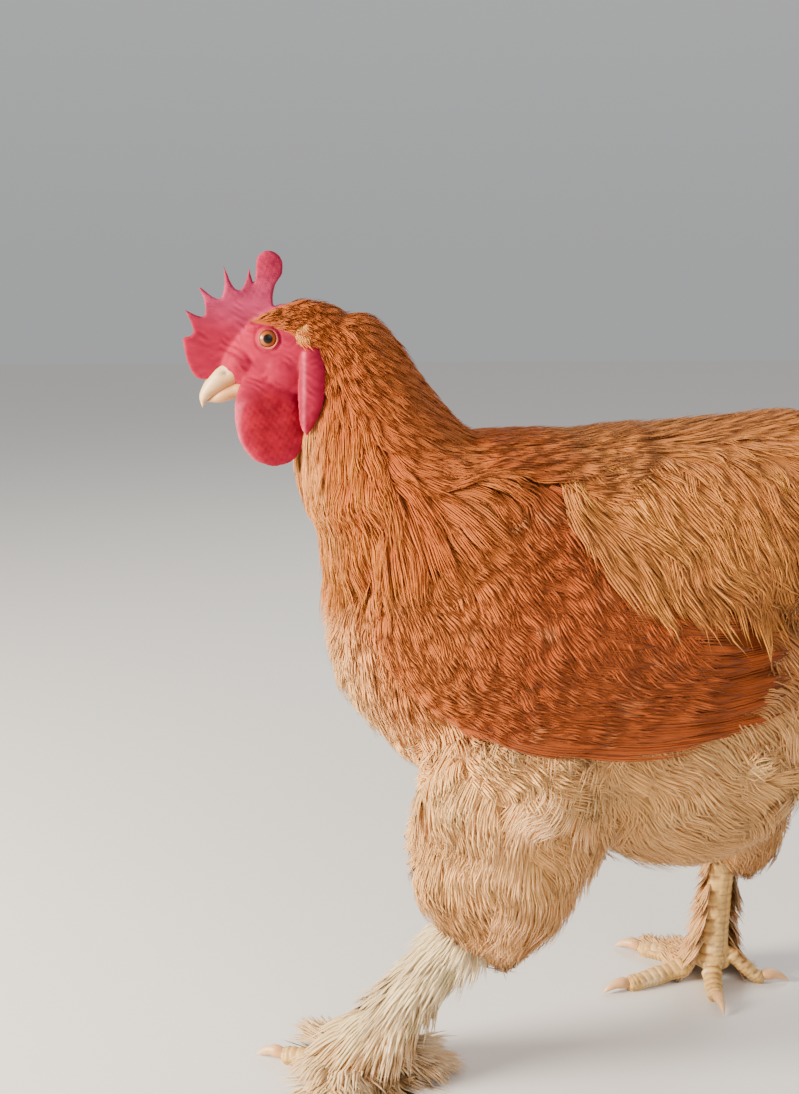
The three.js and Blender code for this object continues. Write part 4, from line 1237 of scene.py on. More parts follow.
for part, span in {"breast": (0.0, 0.26), "breast_rear": (0.24, 0.5)}.items():
    breast = lay_coat(
        f"{part}_coat", SEEDS["breast"] + len(part), TORSO, SKIN_TREE, spacing=7.2, u_range=span,
        flow=torso_flow, size=sized(27, 12), tips=breast_tips, keep=outside_wing, far=14, sink=1.5,
        rise=8.0, ragged=0.3, ruffle=0.3, turn=0.2, stray=0.14, lift=0.12, root=1.0,
    )
    dress(breast, "breast_down", BREAST_FEATHERS)
belly = lay_coat(
    "belly_coat", SEEDS["belly"], TORSO, SKIN_TREE, spacing=13.6, u_range=(0.45, 0.995),
    flow=torso_flow, size=sized(46, 20.5), tips=down_tips, keep=outside_wing, **LOOSE,
)
dress(belly, "pale_down", FLUFF)

# %% Thighs


def thigh_flow(name):
    hock = HOCKS[name]

    def flow(points):
        return unit(hock - points) + np.array([0, 0, -0.7])

    return flow


def thigh_size(name):
    """Shorter and narrower near the hock, so that the feathers end there in a point."""
    hock = HOCKS[name]

    def size(points):
        length = np.clip(0.85 * np.linalg.norm(hock - points, axis=-1) + 4, 10, 40)
        return length, 18 * np.sqrt(length / 40)

    return size


def thigh_tips(points):
    return mix(down_tips(points), HOCK, 0.9 * rise_between(-points[:, 2], -150, -85))


for side_name in SIDES:
    thigh = lay_coat(
        f"thigh_{side_name}_coat", SEEDS["thigh"] + len(side_name), THIGHS[side_name], SKIN_TREE,
        spacing=11.6, u_range=(0.03, 0.995), flow=thigh_flow(side_name), size=thigh_size(side_name),
        tips=thigh_tips, **LOOSE,
    )
    dress(thigh, "pale_down", FLUFF)

# %% [markdown]
# ## Hackle and saddle
# The hackle is a cape of long narrow feathers from the crown to the shoulders. It is laid
# on the neck's skin and carried on over breast, wings and back. The saddle's feathers
# start along the back and stream down over the wings and the root of the tail.

# %% Outer surface that hackle and saddle lie on
CAPE = rail_form(
    top=NAPE_RAIL + [(117, 408), (136, 400)],
    bottom=THROAT_RAIL + [(-1, 377), (6, 357), (14, 338)],
    half=NECK_HALF + [58, 73, 85],
)
CAPE_SHELL = rail_form(
    top=NAPE_RAIL + [(117, 408), (110, 380)],
    bottom=THROAT_RAIL + [(0, 378), (12, 362), (90, 370)],
    half=NECK_HALF + [58, 73, 0],
)
WING_TOP = 104.0
WING_TOP_AT = (150, 300)
FALL_BACK, FALL_FRONT, FALL_OVER, FALL_UNDER = 0.0006, 0.0022, 0.0028, 0.002


def wing_sheet(y, z):
    """How far out the folded wing's sheet lies, at a place in the side view.

    It stands out most at one place, and falls off each way with the square of the distance.
    """
    back, over = y - WING_TOP_AT[0], z - WING_TOP_AT[1]
    back, front = np.maximum(0, back), np.maximum(0, -back)
    over, under = np.maximum(0, over), np.maximum(0, -over)
    lengthwise = WING_TOP - FALL_BACK * back**2 - FALL_FRONT * front**2
    return lengthwise - FALL_OVER * over**2 - FALL_UNDER * under**2


def wing_form(side):
    """The folded wing's outline as a form, on either side."""
    return rail_form(
        top=[(42, 330), (50, 374), (88, 398), (140, 402), (194, 386), (246, 350), (306, 284)],
        bottom=[(42, 330), (46, 296), (72, 266), (110, 245), (160, 232), (222, 234), (306, 270)],
        half=[0, 30, 38, 40, 40, 34, 0],
        lateral=[side * x for x in (70, 76, 84, 88, 88, 86, 84)],
    )


def wing_solid(side, depth, inset=0.0):
    """The wing's closed form, flattened on its outer side to the sheet and depth over it."""
    points, quads, tris = closed_form(wing_form(side))
    middle = np.array([0, 165, 318.0])
    points[:, 1:] += inset * (middle - points)[:, 1:] / 90
    sheet = wing_sheet(points[:, 1], points[:, 2]) + depth
    points[:, 0] = side * np.minimum(side * points[:, 0], sheet)
    return points, quads, tris


def tree_over(forms):
    """The surface of several forms melted together, to lay feathers on."""
    base = melted("outer", forms, BODY_VOXEL, 10)
    tree = tree_of(base.data)
    bpy.data.objects.remove(base)
    return tree


# Soft lumps fill the hollows between neck and breast, and between back and wings.
BODY_FORMS = [
    shrunk(TORSO, 1, rings=40, sides=48),
    shrunk(SADDLE_FORM, 1),
    shrunk(NECK, 1),
    closed_form(HEAD, rings=30, sides=36),
    shrunk(TAIL_CORE, 1, rings=20, sides=30),
    closed_form(CAPE_SHELL),
    shrunk(BACK, 1, rings=20, sides=30),
    ball((0, 44, 348), (66, 34, 42)),
]
BODY_FORMS += [ball((side * 60, 128, 384), (26, 44, 24)) for side in SIDES.values()]
OUTER_TREE = tree_over(BODY_FORMS + [wing_solid(side, 7) for side in SIDES.values()])

# %% Hackle
HACKLE_FEATHERS = feather_material("hackle feathers", amount=0.14)
LONG = {"stations": 5, "point": 0.35, "ragged": 0.3, "tip": 0.85, "steps": 6}


def hackle_flow(points):
    """Down the neck, sweeping back along the nape."""
    y, z = points[:, 1], points[:, 2]
    back = rise_between(y - 0.5 * (490 - z), -10, 40)
    low = 1 - rise_between(z, 380, 440)
    return np.column_stack([0.25 * low * np.sign(points[:, 0]), 0.2 + 0.75 * back, -0.95 + 0.15 * back])


def hackle_tips(points):
    """Gold at the lower front, orange behind, and pale at the throat."""
    y, z = points[:, 1], points[:, 2]
    front = 1 - rise_between(y - 0.2 * (400 - z), 25, 75)
    low = 1 - rise_between(z, 385, 450)
    gold = (0.2 + 0.8 * low) * (0.15 + 0.85 * front)
    tip = mix(HACKLE, HACKLE_TIP, gold)
    throat = (1 - rise_between(y, 2, 16)) * (1 - rise_between(z, 450, 465))
    return mix(tip, THROAT, 0.8 * throat)


def hackle_size(points):
    low = 1 - rise_between(points[:, 2], 370, 480)
    return 24 + 34 * low, 6 + 4.5 * low


def feathered(points):
    """Where the head and throat carry feathers."""
    return red_share(points) < 0.4


HACKLE_PARTS = {
    "crown": ((0.02, 0.22), 4.0, 6),
    "upper": ((0.2, 0.48), 4.8, 8),
    "lower": ((0.46, 0.7), 5.4, 10),
    "cape": ((0.68, 0.97), 6.2, 10),
}
for part, (span, spacing, count) in HACKLE_PARTS.items():
    hackle = lay_coat(
        f"hackle_{part}", SEEDS["hackle"] + len(part), CAPE, OUTER_TREE, spacing=spacing, u_range=span,
        flow=hackle_flow, size=hackle_size, tips=hackle_tips, keep=feathered, far=20, strands=count,
        close=0.25, stray=0.14, ruffle=0.16, turn=0.12, **LONG,
    )
    dress(hackle, "hackle_feather", HACKLE_FEATHERS)

# %% Head and back


def crown_flow(points):
    """Back over the crown, then down behind the ear."""
    back = rise_between(points[:, 1], -10, 20)
    return np.column_stack([0.2 * np.sign(points[:, 0]), 1.0 - 0.3 * back, -0.05 - 0.5 * back])


def on_crown(points):
    return (red_share(points) < 0.5) & (points[:, 2] > 467 - 0.5 * (points[:, 1] + 5))


def crown_tips(points):
    front = 1 - rise_between(points[:, 1], -25, 5)
    return mix(HACKLE, HACKLE_TIP, 0.3 + 0.5 * front)


crown = lay_coat(
    "crown_coat", SEEDS["crown"], HEAD, SKIN_TREE, spacing=2.9, u_range=(0.02, 0.9), flow=crown_flow,
    size=sized(15, 3.6), tips=crown_tips, keep=on_crown, far=3, strands=5, sink=0.8, rise=3.2,
    ragged=0.35, stray=0.14, ruffle=0.14, thick=0.2, turn=0.12,
)
dress(crown, "hackle_feather", HACKLE_FEATHERS)


def back_tips(points):
    return mix(HACKLE, SADDLE, rise_between(points[:, 1], 115, 180))


back = lay_coat(
    "back_coat", SEEDS["back"], BACK, OUTER_TREE, spacing=8.0, u_range=(0.03, 0.97),
    angle_range=(-1.25, np.pi + 1.25), flow=streaming(0.25, 1.0, -0.2), size=sized(36, 11.5),
    tips=back_tips, roots_of=back_tips, far=14, strands=9, rise=4.0, ruffle=0.2, root=0.95,
)
dress(back, "hackle_feather", HACKLE_FEATHERS)


def ear_tuft_paths(side, draw, count=46):
    """Short feathers that fan down and back from just behind the eye, over the ear."""
    root = np.column_stack([
        side * (17.8 + 1.2 * draw.uniform(0, 1, count)),
        draw.uniform(-3, 3.5, count),
        draw.uniform(474, 486, count),
    ])
    way = unit(np.column_stack([
        side * draw.uniform(0.15, 0.4, count),
        draw.uniform(0.1, 0.7, count),
        -draw.uniform(0.5, 1.1, count),
    ]))
    t = np.linspace(0, 1, 6)[None, :, None]
    long = draw.uniform(9, 14, (count, 1, 1))
    bend = np.array([side * -0.25, 0.0, -0.2]) * t**2
    path = root[:, None] + (way[:, None] * t + bend) * long
    facing = np.broadcast_to(np.array([side, -0.2, 0.3]), path.shape)
    return path, unit(facing)


for side_name, side in SIDES.items():
    draw = np.random.default_rng(SEEDS["tuft"] + side)
    paths, facings = ear_tuft_paths(side, draw)
    place = np.column_stack([draw.uniform(0.1, 0.9, len(paths)), draw.uniform(0.1, 0.9, len(paths))])
    pale = mix(HACKLE_TIP, THROAT, draw.uniform(0, 1, len(paths)))[:, None, None]

    def pale_tone(share, lateral, pale=pale):
        return pale * np.ones(share.shape + (1,))

    plan = {**PLAN, "strands": 5, "half": np.full(len(paths), 2.0), "thick": 0.2}
    tuft = coat_mesh("ear_tuft", fans(paths, facings, plan, draw, pale_tone, place))
    dress(add_object(f"ear_tuft_{side_name}", tuft), "pale_down", FLUFF)

# %% Saddle
SADDLE_FEATHERS = feather_material("saddle feathers", amount=0.16)


def saddle_flow(points):
    """Back along the spine, then down the side and back."""
    x = points[:, 0]
    side = rise_between(np.abs(x), 10, 70)
    return np.column_stack([0.5 * np.sign(x) * side, 0.95 - 0.35 * side, -0.15 - 0.7 * side])


def saddle_size(points):
    side = rise_between(np.abs(points[:, 0]), 20, 100)
    return 38 + 24 * side, np.full(len(points), 9.0)


def saddle_tips(points):
    """Gold on the flanks, in drifts, and duller along the spine."""
    side = rise_between(np.abs(points[:, 0]), 40, 85)
    drift = rise_between(swell(points, 34, seed=61), -0.8, 0.8)
    return mix(SADDLE, SADDLE_TIP, (0.25 + 0.75 * drift) * (0.35 + 0.65 * side))


def saddle_roots(points):
    return np.broadcast_to(SADDLE, points.shape)


SADDLE_SIDES = {"left": (-0.25, np.pi / 2), "right": (np.pi / 2, np.pi + 0.25)}
for side_name, angles in SADDLE_SIDES.items():
    saddle = lay_coat(
        f"saddle_{side_name}_coat", SEEDS["saddle"] + len(side_name), SADDLE_FORM, OUTER_TREE,
        spacing=7.4, u_range=(0.02, 0.97), angle_range=angles, flow=saddle_flow, size=saddle_size,
        tips=saddle_tips, roots_of=saddle_roots, far=25, strands=7, close=0.35, rise=3.4,
        stray=0.16, ruffle=0.26, turn=0.14, **LONG,
    )
    dress(saddle, "saddle_feather", SADDLE_FEATHERS, replaces=["saddle"] if side_name == "left" else [])

# %% [markdown]
# ## Wings
# The folded wing shows rows of stiff feathers, the primaries lowest and furthest back.
# Small soft coverts lie over the shoulder and hide most of their length. Each stiff one
# is a broad vane under close barbs, and each row lies over the roots of the next.

# %% Wing feathers
WING_FEATHERS = feather_material("wing feathers", amount=0.12)
WING_ROWS = [
    {"count": 7, "roots": [(170, 256), (190, 290)], "tips": [(292, 262), (284, 300)], "sag": (8, 3),
     "high": (1.0, 2.0), "width": 15},
    {"count": 13, "roots": [(112, 262), (176, 366)], "tips": [(252, 250), (268, 344)], "sag": (12, 0),
     "high": (1.5, 6.5), "width": 19},
    {"count": 13, "roots": [(88, 268), (152, 378)], "tips": [(180, 246), (226, 360)], "sag": (8, 0),
     "high": (2.5, 6.0), "width": 17},
    {"count": 12, "roots": [(62, 284), (112, 384)], "tips": [(128, 252), (172, 370)], "sag": (4, 0),
     "high": (2.0, 5.0), "width": 16},
]
BROAD = {
    "vane": True, "strands": 12, "stations": 8, "point": 0.12, "ragged": 0.05, "waist": 0.6,
    "close": 0.12, "stray": 0.02, "lift": 0.03, "camber": 0.12, "thick": 0.35,
}
LAP = np.tan(np.radians(7))
CORE_SHADE = {"wing": 0.6, "tail": 0.7}


def sheet_facing(y, z, side):
    step = 1.0
    slope_y = (wing_sheet(y + step, z) - wing_sheet(y - step, z)) / (2 * step)
    slope_z = (wing_sheet(y, z + step) - wing_sheet(y, z - step)) / (2 * step)
    return unit(np.stack([side * np.ones_like(y), -slope_y, -slope_z], -1))


def wing_row(row, side, draw, steps=8):
    """Paths and facings of one row: straight on the sheet but for their sag, rising to the tip."""
    share = np.linspace(0, 1, row["count"])[:, None]
    roots = np.array(row["roots"][0]) * (1 - share) + np.array(row["roots"][1]) * share
    tips = np.array(row["tips"][0]) * (1 - share) + np.array(row["tips"][1]) * share
    tips = tips + draw.normal(size=tips.shape) * 2.4
    t = np.linspace(0, 1, steps + 1)[None, :]
    yz = roots[:, None] * (1 - t[..., None]) + tips[:, None] * t[..., None]
    sag = row["sag"][0] * (1 - share) + row["sag"][1] * share
    yz[..., 1] -= 4 * sag * t * (1 - t)
    facing = sheet_facing(yz[..., 0], yz[..., 1], side)
    height = row["high"][0] + (row["high"][1] - row["high"][0]) * t - 5 * (1 - t) ** 6
    out = side * wing_sheet(yz[..., 0], yz[..., 1])
    return np.concatenate([out[..., None], yz], -1) + facing * height[..., None], facing


def broad_feathers(paths, facings, width, colours_of, place, side, draw):
    """Broad vanes with their barbs, tilted so that the lower edge lies over the next."""
    ahead = unit(paths[:, -1] - paths[:, 0])[:, None]
    facings = unit(facings - np.cross(ahead, facings) * side * LAP)
    half = width / 2 * draw.uniform(0.92, 1.08, len(paths))

    def tones(share, lateral):
        return colours_of(paths, share, lateral, draw)

    return fans(paths, facings, {**PLAN, **BROAD, "half": half}, draw, tones, place)


def wing_colours(paths, share, lateral, draw):
    """Deep red-orange, darker on the inner web, with painted shade towards the root."""
    tone = 1 + 0.08 * draw.normal(size=(len(paths), 1, 1, 1))
    web = 1 - 0.12 * rise_between(lateral, -0.2, 0.4)[:, :, None, None]
    # Painted shade towards the root, under the row above.
    edge = 0.7 + 0.3 * rise_between(share, 0.1, 0.6)[..., None]
    return np.clip(WING * tone * edge * web, 0, 1)


def wing_sets(side):
    """All rows of one wing, as sets for coat_mesh."""
    draw = np.random.default_rng(SEEDS["wing"] + side)
    sets = []
    for number, row in enumerate(WING_ROWS):
        paths, facings = wing_row(row, side, draw)
        place = np.column_stack([
            np.linspace(0.05, 0.95, len(paths)), np.full(len(paths), (number + 0.3) / len(WING_ROWS)),
        ])
        sets += broad_feathers(paths, facings, row["width"], wing_colours, place, side, draw)
    return sets


for side_name, side in SIDES.items():
    core = wing_solid(side, -1.5, inset=14)
    wing = add_object(
        f"wing_{side_name}_coat", coat_mesh("wing", wing_sets(side), core, WING * CORE_SHADE["wing"]),
    )
    dress(wing, "wing_feather", WING_FEATHERS, replaces=[f"wing_{side_name}"])

# %% Soft coverts over the shoulder and the middle of the wing


def covert_flow(points):
    """Steeply down and back over the shoulder, turning back along the lower edge."""
    y, z = points[:, 1], points[:, 2]
    low = 1 - rise_between(z - 0.1 * (y - 60), 248, 300)
    way = np.zeros_like(points)
    way[:, 1] = 0.6 + 0.5 * low
    way[:, 2] = -0.8 + 0.65 * low
    return way


def covert_size(points):
    back = rise_between(points[:, 1], 60, 200)
    return 24 + 16 * back, 12 + 4 * back


def covert_tips(points):
    y, z = points[:, 1], points[:, 2]
    front = 1 - rise_between(y - 0.3 * (z - 300), 60, 120)
    tone = mix(WING, WING_FRONT, 0.9 * front)
    fleck = 0.4 * rise_between(swell(points, 16, seed=57), 0.7, 1.6)
    # Painted shade where the saddle overhangs the coverts.
    saddle_shade = rise_between(z + 0.5 * (y - 150), 350, 385) * rise_between(y, 90, 130)
    return mix(tone, WING_FLECK, fleck) * (1 - 0.22 * saddle_shade)[:, None]


def on_wing(points):
    y, z = points[:, 1], points[:, 2]
    rear = np.interp(z, [240, 262, 300, 350, 400], [150, 205, 225, 215, 180])
    return (y < rear) & (np.abs(points[:, 0]) > 60) & (z > 258 - 0.1 * (y - 60))


for side_name, side in SIDES.items():
    tree = tree_over([wing_solid(side, 4.5), shrunk(TORSO, -4, rings=40, sides=48)])
    angles = (-0.5 * np.pi, 0.5 * np.pi) if side > 0 else (0.5 * np.pi, 1.5 * np.pi)
    coverts = lay_coat(
        f"coverts_{side_name}_coat", SEEDS["coverts"] + side, wing_form(side), tree, spacing=8.6,
        u_range=(0.01, 0.9), angle_range=angles, flow=covert_flow, size=covert_size, tips=covert_tips,
        keep=on_wing, roots_of=covert_tips, far=30, strands=11, rise=2.6, ruffle=0.24, turn=0.14,
        tip=0.8, root=1.0, stray=0.12, lift=0.04, ragged=0.35,
    )
    dress(coverts, "wing_feather", WING_FEATHERS)

# %% [markdown]
# ## Tail
# The photograph cuts the tail off, so it comes from the breed: short, full and soft, and
# raised a little over the line of the back. Its feathers lie in layers, smaller ones
# inside, and the outer rows are shorter and bend apart.

# %% Tail feathers


def fan(inward, narrow):
    """What one layer of the tail lies on: the whole fan, or a smaller one inside it."""
    top = [(326, 430), (352, 455), (380, 478), (409, 497), (440, 508)]
    bottom = [(326, 348), (352, 358), (382, 372), (412, 390), (442, 414)]
    return rail_form(
        top=[(y, z - inward) for y, z in top],
        bottom=[(y, z + inward) for y, z in bottom],
        half=[narrow * half for half in (40, 36, 31, 27, 24)],
    )


OUTER_FAN = fan(0, 1)
TAIL_TIERS = [
    dict(fan=fan(27, 0.15), u=0.46, count=6, length=62, rise=0.0, depth=4, width=17, bend=0.0),
    dict(fan=fan(18, 0.42), u=0.42, count=7, length=70, rise=1.0, depth=6, width=18, bend=0.0),
    dict(fan=fan(9, 0.7), u=0.4, count=8, length=74, rise=1.0, depth=9, width=20, bend=0.0),
    dict(fan=OUTER_FAN, u=0.34, count=9, length=82, rise=1.0, depth=13, width=21, bend=0.0),
    dict(fan=OUTER_FAN, u=0.24, count=9, length=80, rise=6.0, depth=9, width=20, bend=0.1),
    dict(fan=OUTER_FAN, u=0.16, count=10, length=62, rise=8.0, depth=9, width=18, bend=0.2),
    dict(fan=OUTER_FAN, u=0.06, count=11, length=48, rise=9.0, depth=7, width=15, bend=0.3),
]
TAIL_TURNS = (80, -64)


def laid_paths(form, u, angle, bend, length, height, steps=8):
    """Paths on a form that run along it and turn round it by bend, at the given heights."""
    path, facing = [], []
    u, angle = u.copy(), angle.copy()
    for k in range(steps + 1):
        here = form(u, angle)
        along = (form(u + 0.004, angle) - form(u - 0.004, angle)) / 0.008
        round_it = form(u, angle + 0.02) - form(u, angle - 0.02)
        out = unit(np.cross(along, round_it))
        out *= np.sign(np.einsum("ij,ij->i", out, here - 0.5 * (here + form(u, angle + np.pi))))[:, None]
        path.append(here + out * height[k])
        facing.append(out)
        pace = np.maximum(np.linalg.norm(along, axis=-1), 1)
        u = u + length / steps / pace
        angle = angle + bend * length / steps / pace
    return np.stack(path, 1), np.stack(facing, 1)


def tail_colours(paths, share, lateral, draw):
    """Chestnut-buff, lighter towards the tip, with painted shade at the root."""
    base = mix(TAIL, SADDLE, 0.5 * rise_between(share, 0.3, 1.0))
    tone = 1 + 0.12 * draw.normal(size=(len(paths), 1, 1, 1))
    # Painted shade towards the root, where the feathers overlap.
    return np.clip(base * tone * (0.75 + 0.25 * rise_between(share, 0.1, 0.6)[..., None]), 0, 1)


def tail_sets():
    """All layers of the tail, each side from its top down, as sets for coat_mesh."""
    draw = np.random.default_rng(SEEDS["tail"])
    sets = []
    t = np.linspace(0, 1, 9)
    for side in SIDES.values():
        for tier, facts in enumerate(TAIL_TIERS):
            share = (np.arange(facts["count"]) + 2.5 * facts["bend"]) / (facts["count"] - 0.5)
            turn = np.radians(TAIL_TURNS[0] + (TAIL_TURNS[1] - TAIL_TURNS[0]) * share)
            angle = turn if side > 0 else np.pi - turn
            length = facts["length"] * draw.uniform(0.93, 1.07, len(angle))
            height = -facts["depth"] * (1 - t) ** 5 + facts["rise"] * t + 0.6
            u = np.full(len(angle), facts["u"])
            paths, facings = laid_paths(facts["fan"], u, angle, -side * facts["bend"], length, height)
            across = 0.5 + side * (0.04 + 0.42 * share)
            place = np.column_stack([across, np.full(len(share), 0.05 + 0.14 * tier)])
            sets += broad_feathers(paths, facings, facts["width"], tail_colours, place, side, draw)
    return sets


TAIL_FEATHERS = feather_material("tail feathers", amount=0.14)
tail = coat_mesh("tail", tail_sets(), shrunk(TAIL_CORE, 0.5), TAIL * CORE_SHADE["tail"])
dress(add_object("tail_coat", tail), "tail_feather", TAIL_FEATHERS, replaces=["tail"])

# %% [markdown]
# Seen from behind, a full tail isn't hollow. Soft feathers stand out of its root between
# the stiff ones and run down into the fluff below it.

# %% Soft feathers inside the tail


def tail_tips(points):
    """Chestnut-buff above, running down into the belly's buff."""
    return mix(TAIL, DOWN, 1 - rise_between(points[:, 2], 355, 425))


tail_fill = lay_coat(
    "tail_fill", SEEDS["tail_fill"], TAIL_CORE, SKIN_TREE, spacing=8.4, u_range=(0.3, 0.985),
    flow=streaming(0.3, 1.0, 0.35), size=sized(34, 16), tips=tail_tips, roots_of=tail_tips, far=6,
    strands=9, stations=5, sink=1.0, rise=9.0, ragged=0.35, ruffle=0.25, turn=0.2, stray=0.14,
    lift=0.1, root=0.9,
)
dress(tail_fill, "tail_feather", TAIL_FEATHERS)

# %% [markdown]
# ## Legs
# Shanks and toes are bare scaled skin. Big scutes overlap down the front of the shank and
# over each toe like roof tiles, and small round scales cover the rest. The tubes are
# melted into one foot, and every point then finds its place along the nearest tube.

# %% Legs and claws
SHANK_RADIUS = 9.6
TOE_RADIUS = 6.8
CLAW_LENGTH = 17.0
LEG_VOXEL = 0.9
SCALE_DEPTH = 0.8
SKIN_CLEAR = 0.05
LEGS = {
    "left": {
        "shank": [(53, 112, 122), (53, 100, 104), (52, 76, 76), (50, 54, 48), (48, 38, 26), (48, 34, 12),
                  (48, 33, 4)],
        "toes": [
            [(47, 42, 19), (45, 56, 10), (44, 68, 4), (44, 76, 3.5)],
            [(43, 28, 12), (31, 19, 7), (18, 9, 5), (12, 5, 4)],
            [(46, 22, 12), (39, 4, 7), (31, -14, 5), (28, -22, 4)],
            [(54, 28, 12), (66, 14, 7), (78, 1, 5), (84, -5, 4)],
        ],
        "bell": [13, 18, 25, 33, 44],
        "count": 300,
        "turns": (-180, 180),
        "length": 50.0,
        "on_toe": {0: (60, 1.0, 70), 1: (18, 0.9, -165), 2: (12, 0.2, -20), 3: (80, 0.9, -4)},
        "colour": FOOT,
    },
    "right": {
        "shank": [(-53, 302, 138), (-54, 303, 120), (-55, 300, 88), (-57, 299, 55), (-58, 298, 28),
                  (-59, 298, 13), (-59, 298, 4)],
        "toes": [
            [(-56, 306, 26), (-53, 317, 15), (-50, 329, 4.5), (-49, 336, 3.5)],
            [(-54, 296, 12), (-40, 293, 7), (-27, 291, 5), (-21, 291, 4)],
            [(-60, 287, 12), (-55, 262, 7), (-47, 238, 5), (-44, 228, 4)],
            [(-66, 291, 12), (-80, 276, 7), (-94, 258, 5), (-99, 250, 4)],
        ],
        "bell": [10, 12.5, 17, 25, 36],
        "count": 170,
        "turns": (-100, 100),
        "length": 32.0,
        "on_toe": {2: (8, 0.3, -8), 3: (36, 0.7, -8)},
        "colour": DOWN,
    },
}
SHANK_SHARES = [0, 1.15, 0.86, 0.84, 0.95, 1.2, 0]
SHANK_HIGH_SHARES = [0, 1.25, 0.98, 0.98, 1.1, 1.35, 0]
TOE_SHARES = [0, 1.05, 0.92, 0.98, 0.86, 0.88, 0.7, 0]


def length_of(path):
    return np.linalg.norm(np.diff(smooth(path, np.linspace(0, 1, 60)), axis=0), axis=-1).sum()


def leg_tubes(leg):
    """The shank and each toe as a form, with its path, its scutes' pitch and its way up."""
    across = [r * SHANK_RADIUS for r in SHANK_SHARES]
    high = [r * SHANK_RADIUS for r in SHANK_HIGH_SHARES]
    shank = tube_form(leg["shank"], across, high, (0, -1, 0))
    tubes = [(shank, leg["shank"], 8.0, np.array([0, -1.0, 0.2]))]
    for number, path in enumerate(leg["toes"]):
        thick = [r * TOE_RADIUS * (0.85 if number == 0 else 1.0) for r in TOE_SHARES]
        tubes.append((tube_form(path, thick, thick), path, 4.6, np.array([0, 0, 1.0])))
    return tubes


def scale_relief(points, normals, leg):
    """Height of the scales at each point: tiles along the nearest path, small beads below."""
    best = np.full(len(points), np.inf)
    tile = np.zeros(len(points))
    for _, path, pitch, up in leg_tubes(leg):
        u = np.linspace(0, 1, 260)
        line = smooth(path, u)
        gap = np.linalg.norm(points[:, None] - line[None], axis=-1)
        near = gap.argmin(1)
        ahead = unit(np.gradient(line, axis=0))[near]
        along = u[near] * length_of(path) + np.einsum("ij,ij->i", points - line[near], ahead)
        facing_up = normals @ unit(up)
        step = (along / pitch + 0.35 * (1 - facing_up)) % 1.0
        scute = np.minimum(1, step * 1.6) * (1 - rise_between(step, 0.84, 1.0))
        round_it = np.sin(3.2 * np.arccos(np.clip(facing_up, -1, 1)))
        bead = np.abs(np.sin(np.pi * along / (0.5 * pitch)) * round_it) ** 0.5
        here = bead + (scute - bead) * rise_between(facing_up, 0.0, 0.35)
        closest = gap.min(1) / (SHANK_RADIUS if pitch > 5 else TOE_RADIUS)
        tile = np.where(closest < best, here, tile)
        best = np.minimum(best, closest)
    return tile


def claw_path(path):
    """From inside the toe's end, a curve that comes down to the floor."""
    before, end = np.array(path[-2], float), np.array(path[-1], float)
    ahead = unit((end - before) * [1, 1, 0])
    forward = [-3, 2, 0.4 * CLAW_LENGTH, 0.75 * CLAW_LENGTH, CLAW_LENGTH]
    return [tuple((end + ahead * f)[:2]) + (z,) for f, z in zip(forward, (5.5, 6.6, 6.4, 4.2, 1.0))]


SHANK_YELLOW = colour(204, 162, 92)
SHANK_PALE = colour(220, 190, 134)
SHANK_SEAM = colour(150, 104, 58)
HORN = colour(226, 184, 134)
HORN_BASE = colour(198, 138, 84)
LEG_SCALES = painted_material("leg scales", PEBBLE, 240.0, 0.22, (0.4, 0.0005), Roughness=0.55)
HORN_FINISH = painted_material(
    "horn", BARBS, 300.0, 0.1, Roughness=0.42, Subsurface_Weight=0.1, Subsurface_Scale=0.002,
)

for side_name, leg in LEGS.items():
    tubes = [closed_form(tube[0], rings=90, sides=40) for tube in leg_tubes(leg)]
    foot = melted(f"leg_{side_name}", tubes, LEG_VOXEL, 3)
    at, normals = points_of(foot.data), normals_of(foot.data)
    relief = scale_relief(at, normals, leg)
    at += normals * (SCALE_DEPTH * (relief - 0.6))[:, None]
    at[:, 2] = np.maximum(at[:, 2], SKIN_CLEAR)
    move_points(foot.data, at)
    blotch = rise_between(swell(at, 20, seed=41), 0.0, 1.3)
    tone = mix(SHANK_YELLOW, SHANK_PALE, blotch)
    tone = mix(tone, SHANK_SEAM, 0.75 * (1 - rise_between(relief, 0.1, 0.6)))
    paint(foot.data, tone)
    dress(
        foot, "leg_scale", LEG_SCALES,
        replaces=[f"shank_{side_name}"] + [f"toe_{side_name}_{i}" for i in range(1, 5)],
    )
    for number, path in enumerate(leg["toes"], 1):
        claw_form = tube_form(claw_path(path), [3.4, 4.0, 3.1, 1.8, 0], [3.4, 4.2, 3.3, 2.0, 0])
        points, quads, tris = closed_form(claw_form, rings=30, sides=20)
        points[:, 2] = np.maximum(points[:, 2], SKIN_CLEAR)
        claw = add_object(f"claw_{side_name}_{number}_horn", mesh_of("claw", points, [quads, tris]))
        root = np.array(path[-1], float)
        share = np.linalg.norm(points - root, axis=-1) / CLAW_LENGTH
        paint(claw.data, mix(HORN_BASE, HORN, share))
        dress(claw, "claw_horn", HORN_FINISH, replaces=[f"claw_{side_name}_{number}"])

# %% [markdown]
# ## Feathered feet
# The breed's feet wear feathers, densest down the outer side of the shank and along the
# outer toes. They leave the skin at a slant, hang, and splay where they meet the floor.
# The near foot is hidden by them but for one toe; the far one's toes are mostly bare.

# %% Foot feathers
FOOT_FEATHERS = feather_material("foot feathers", amount=0.08, downy=0.4)
PATH_CLEAR = 0.6
STRAND_CLEAR = 0.15


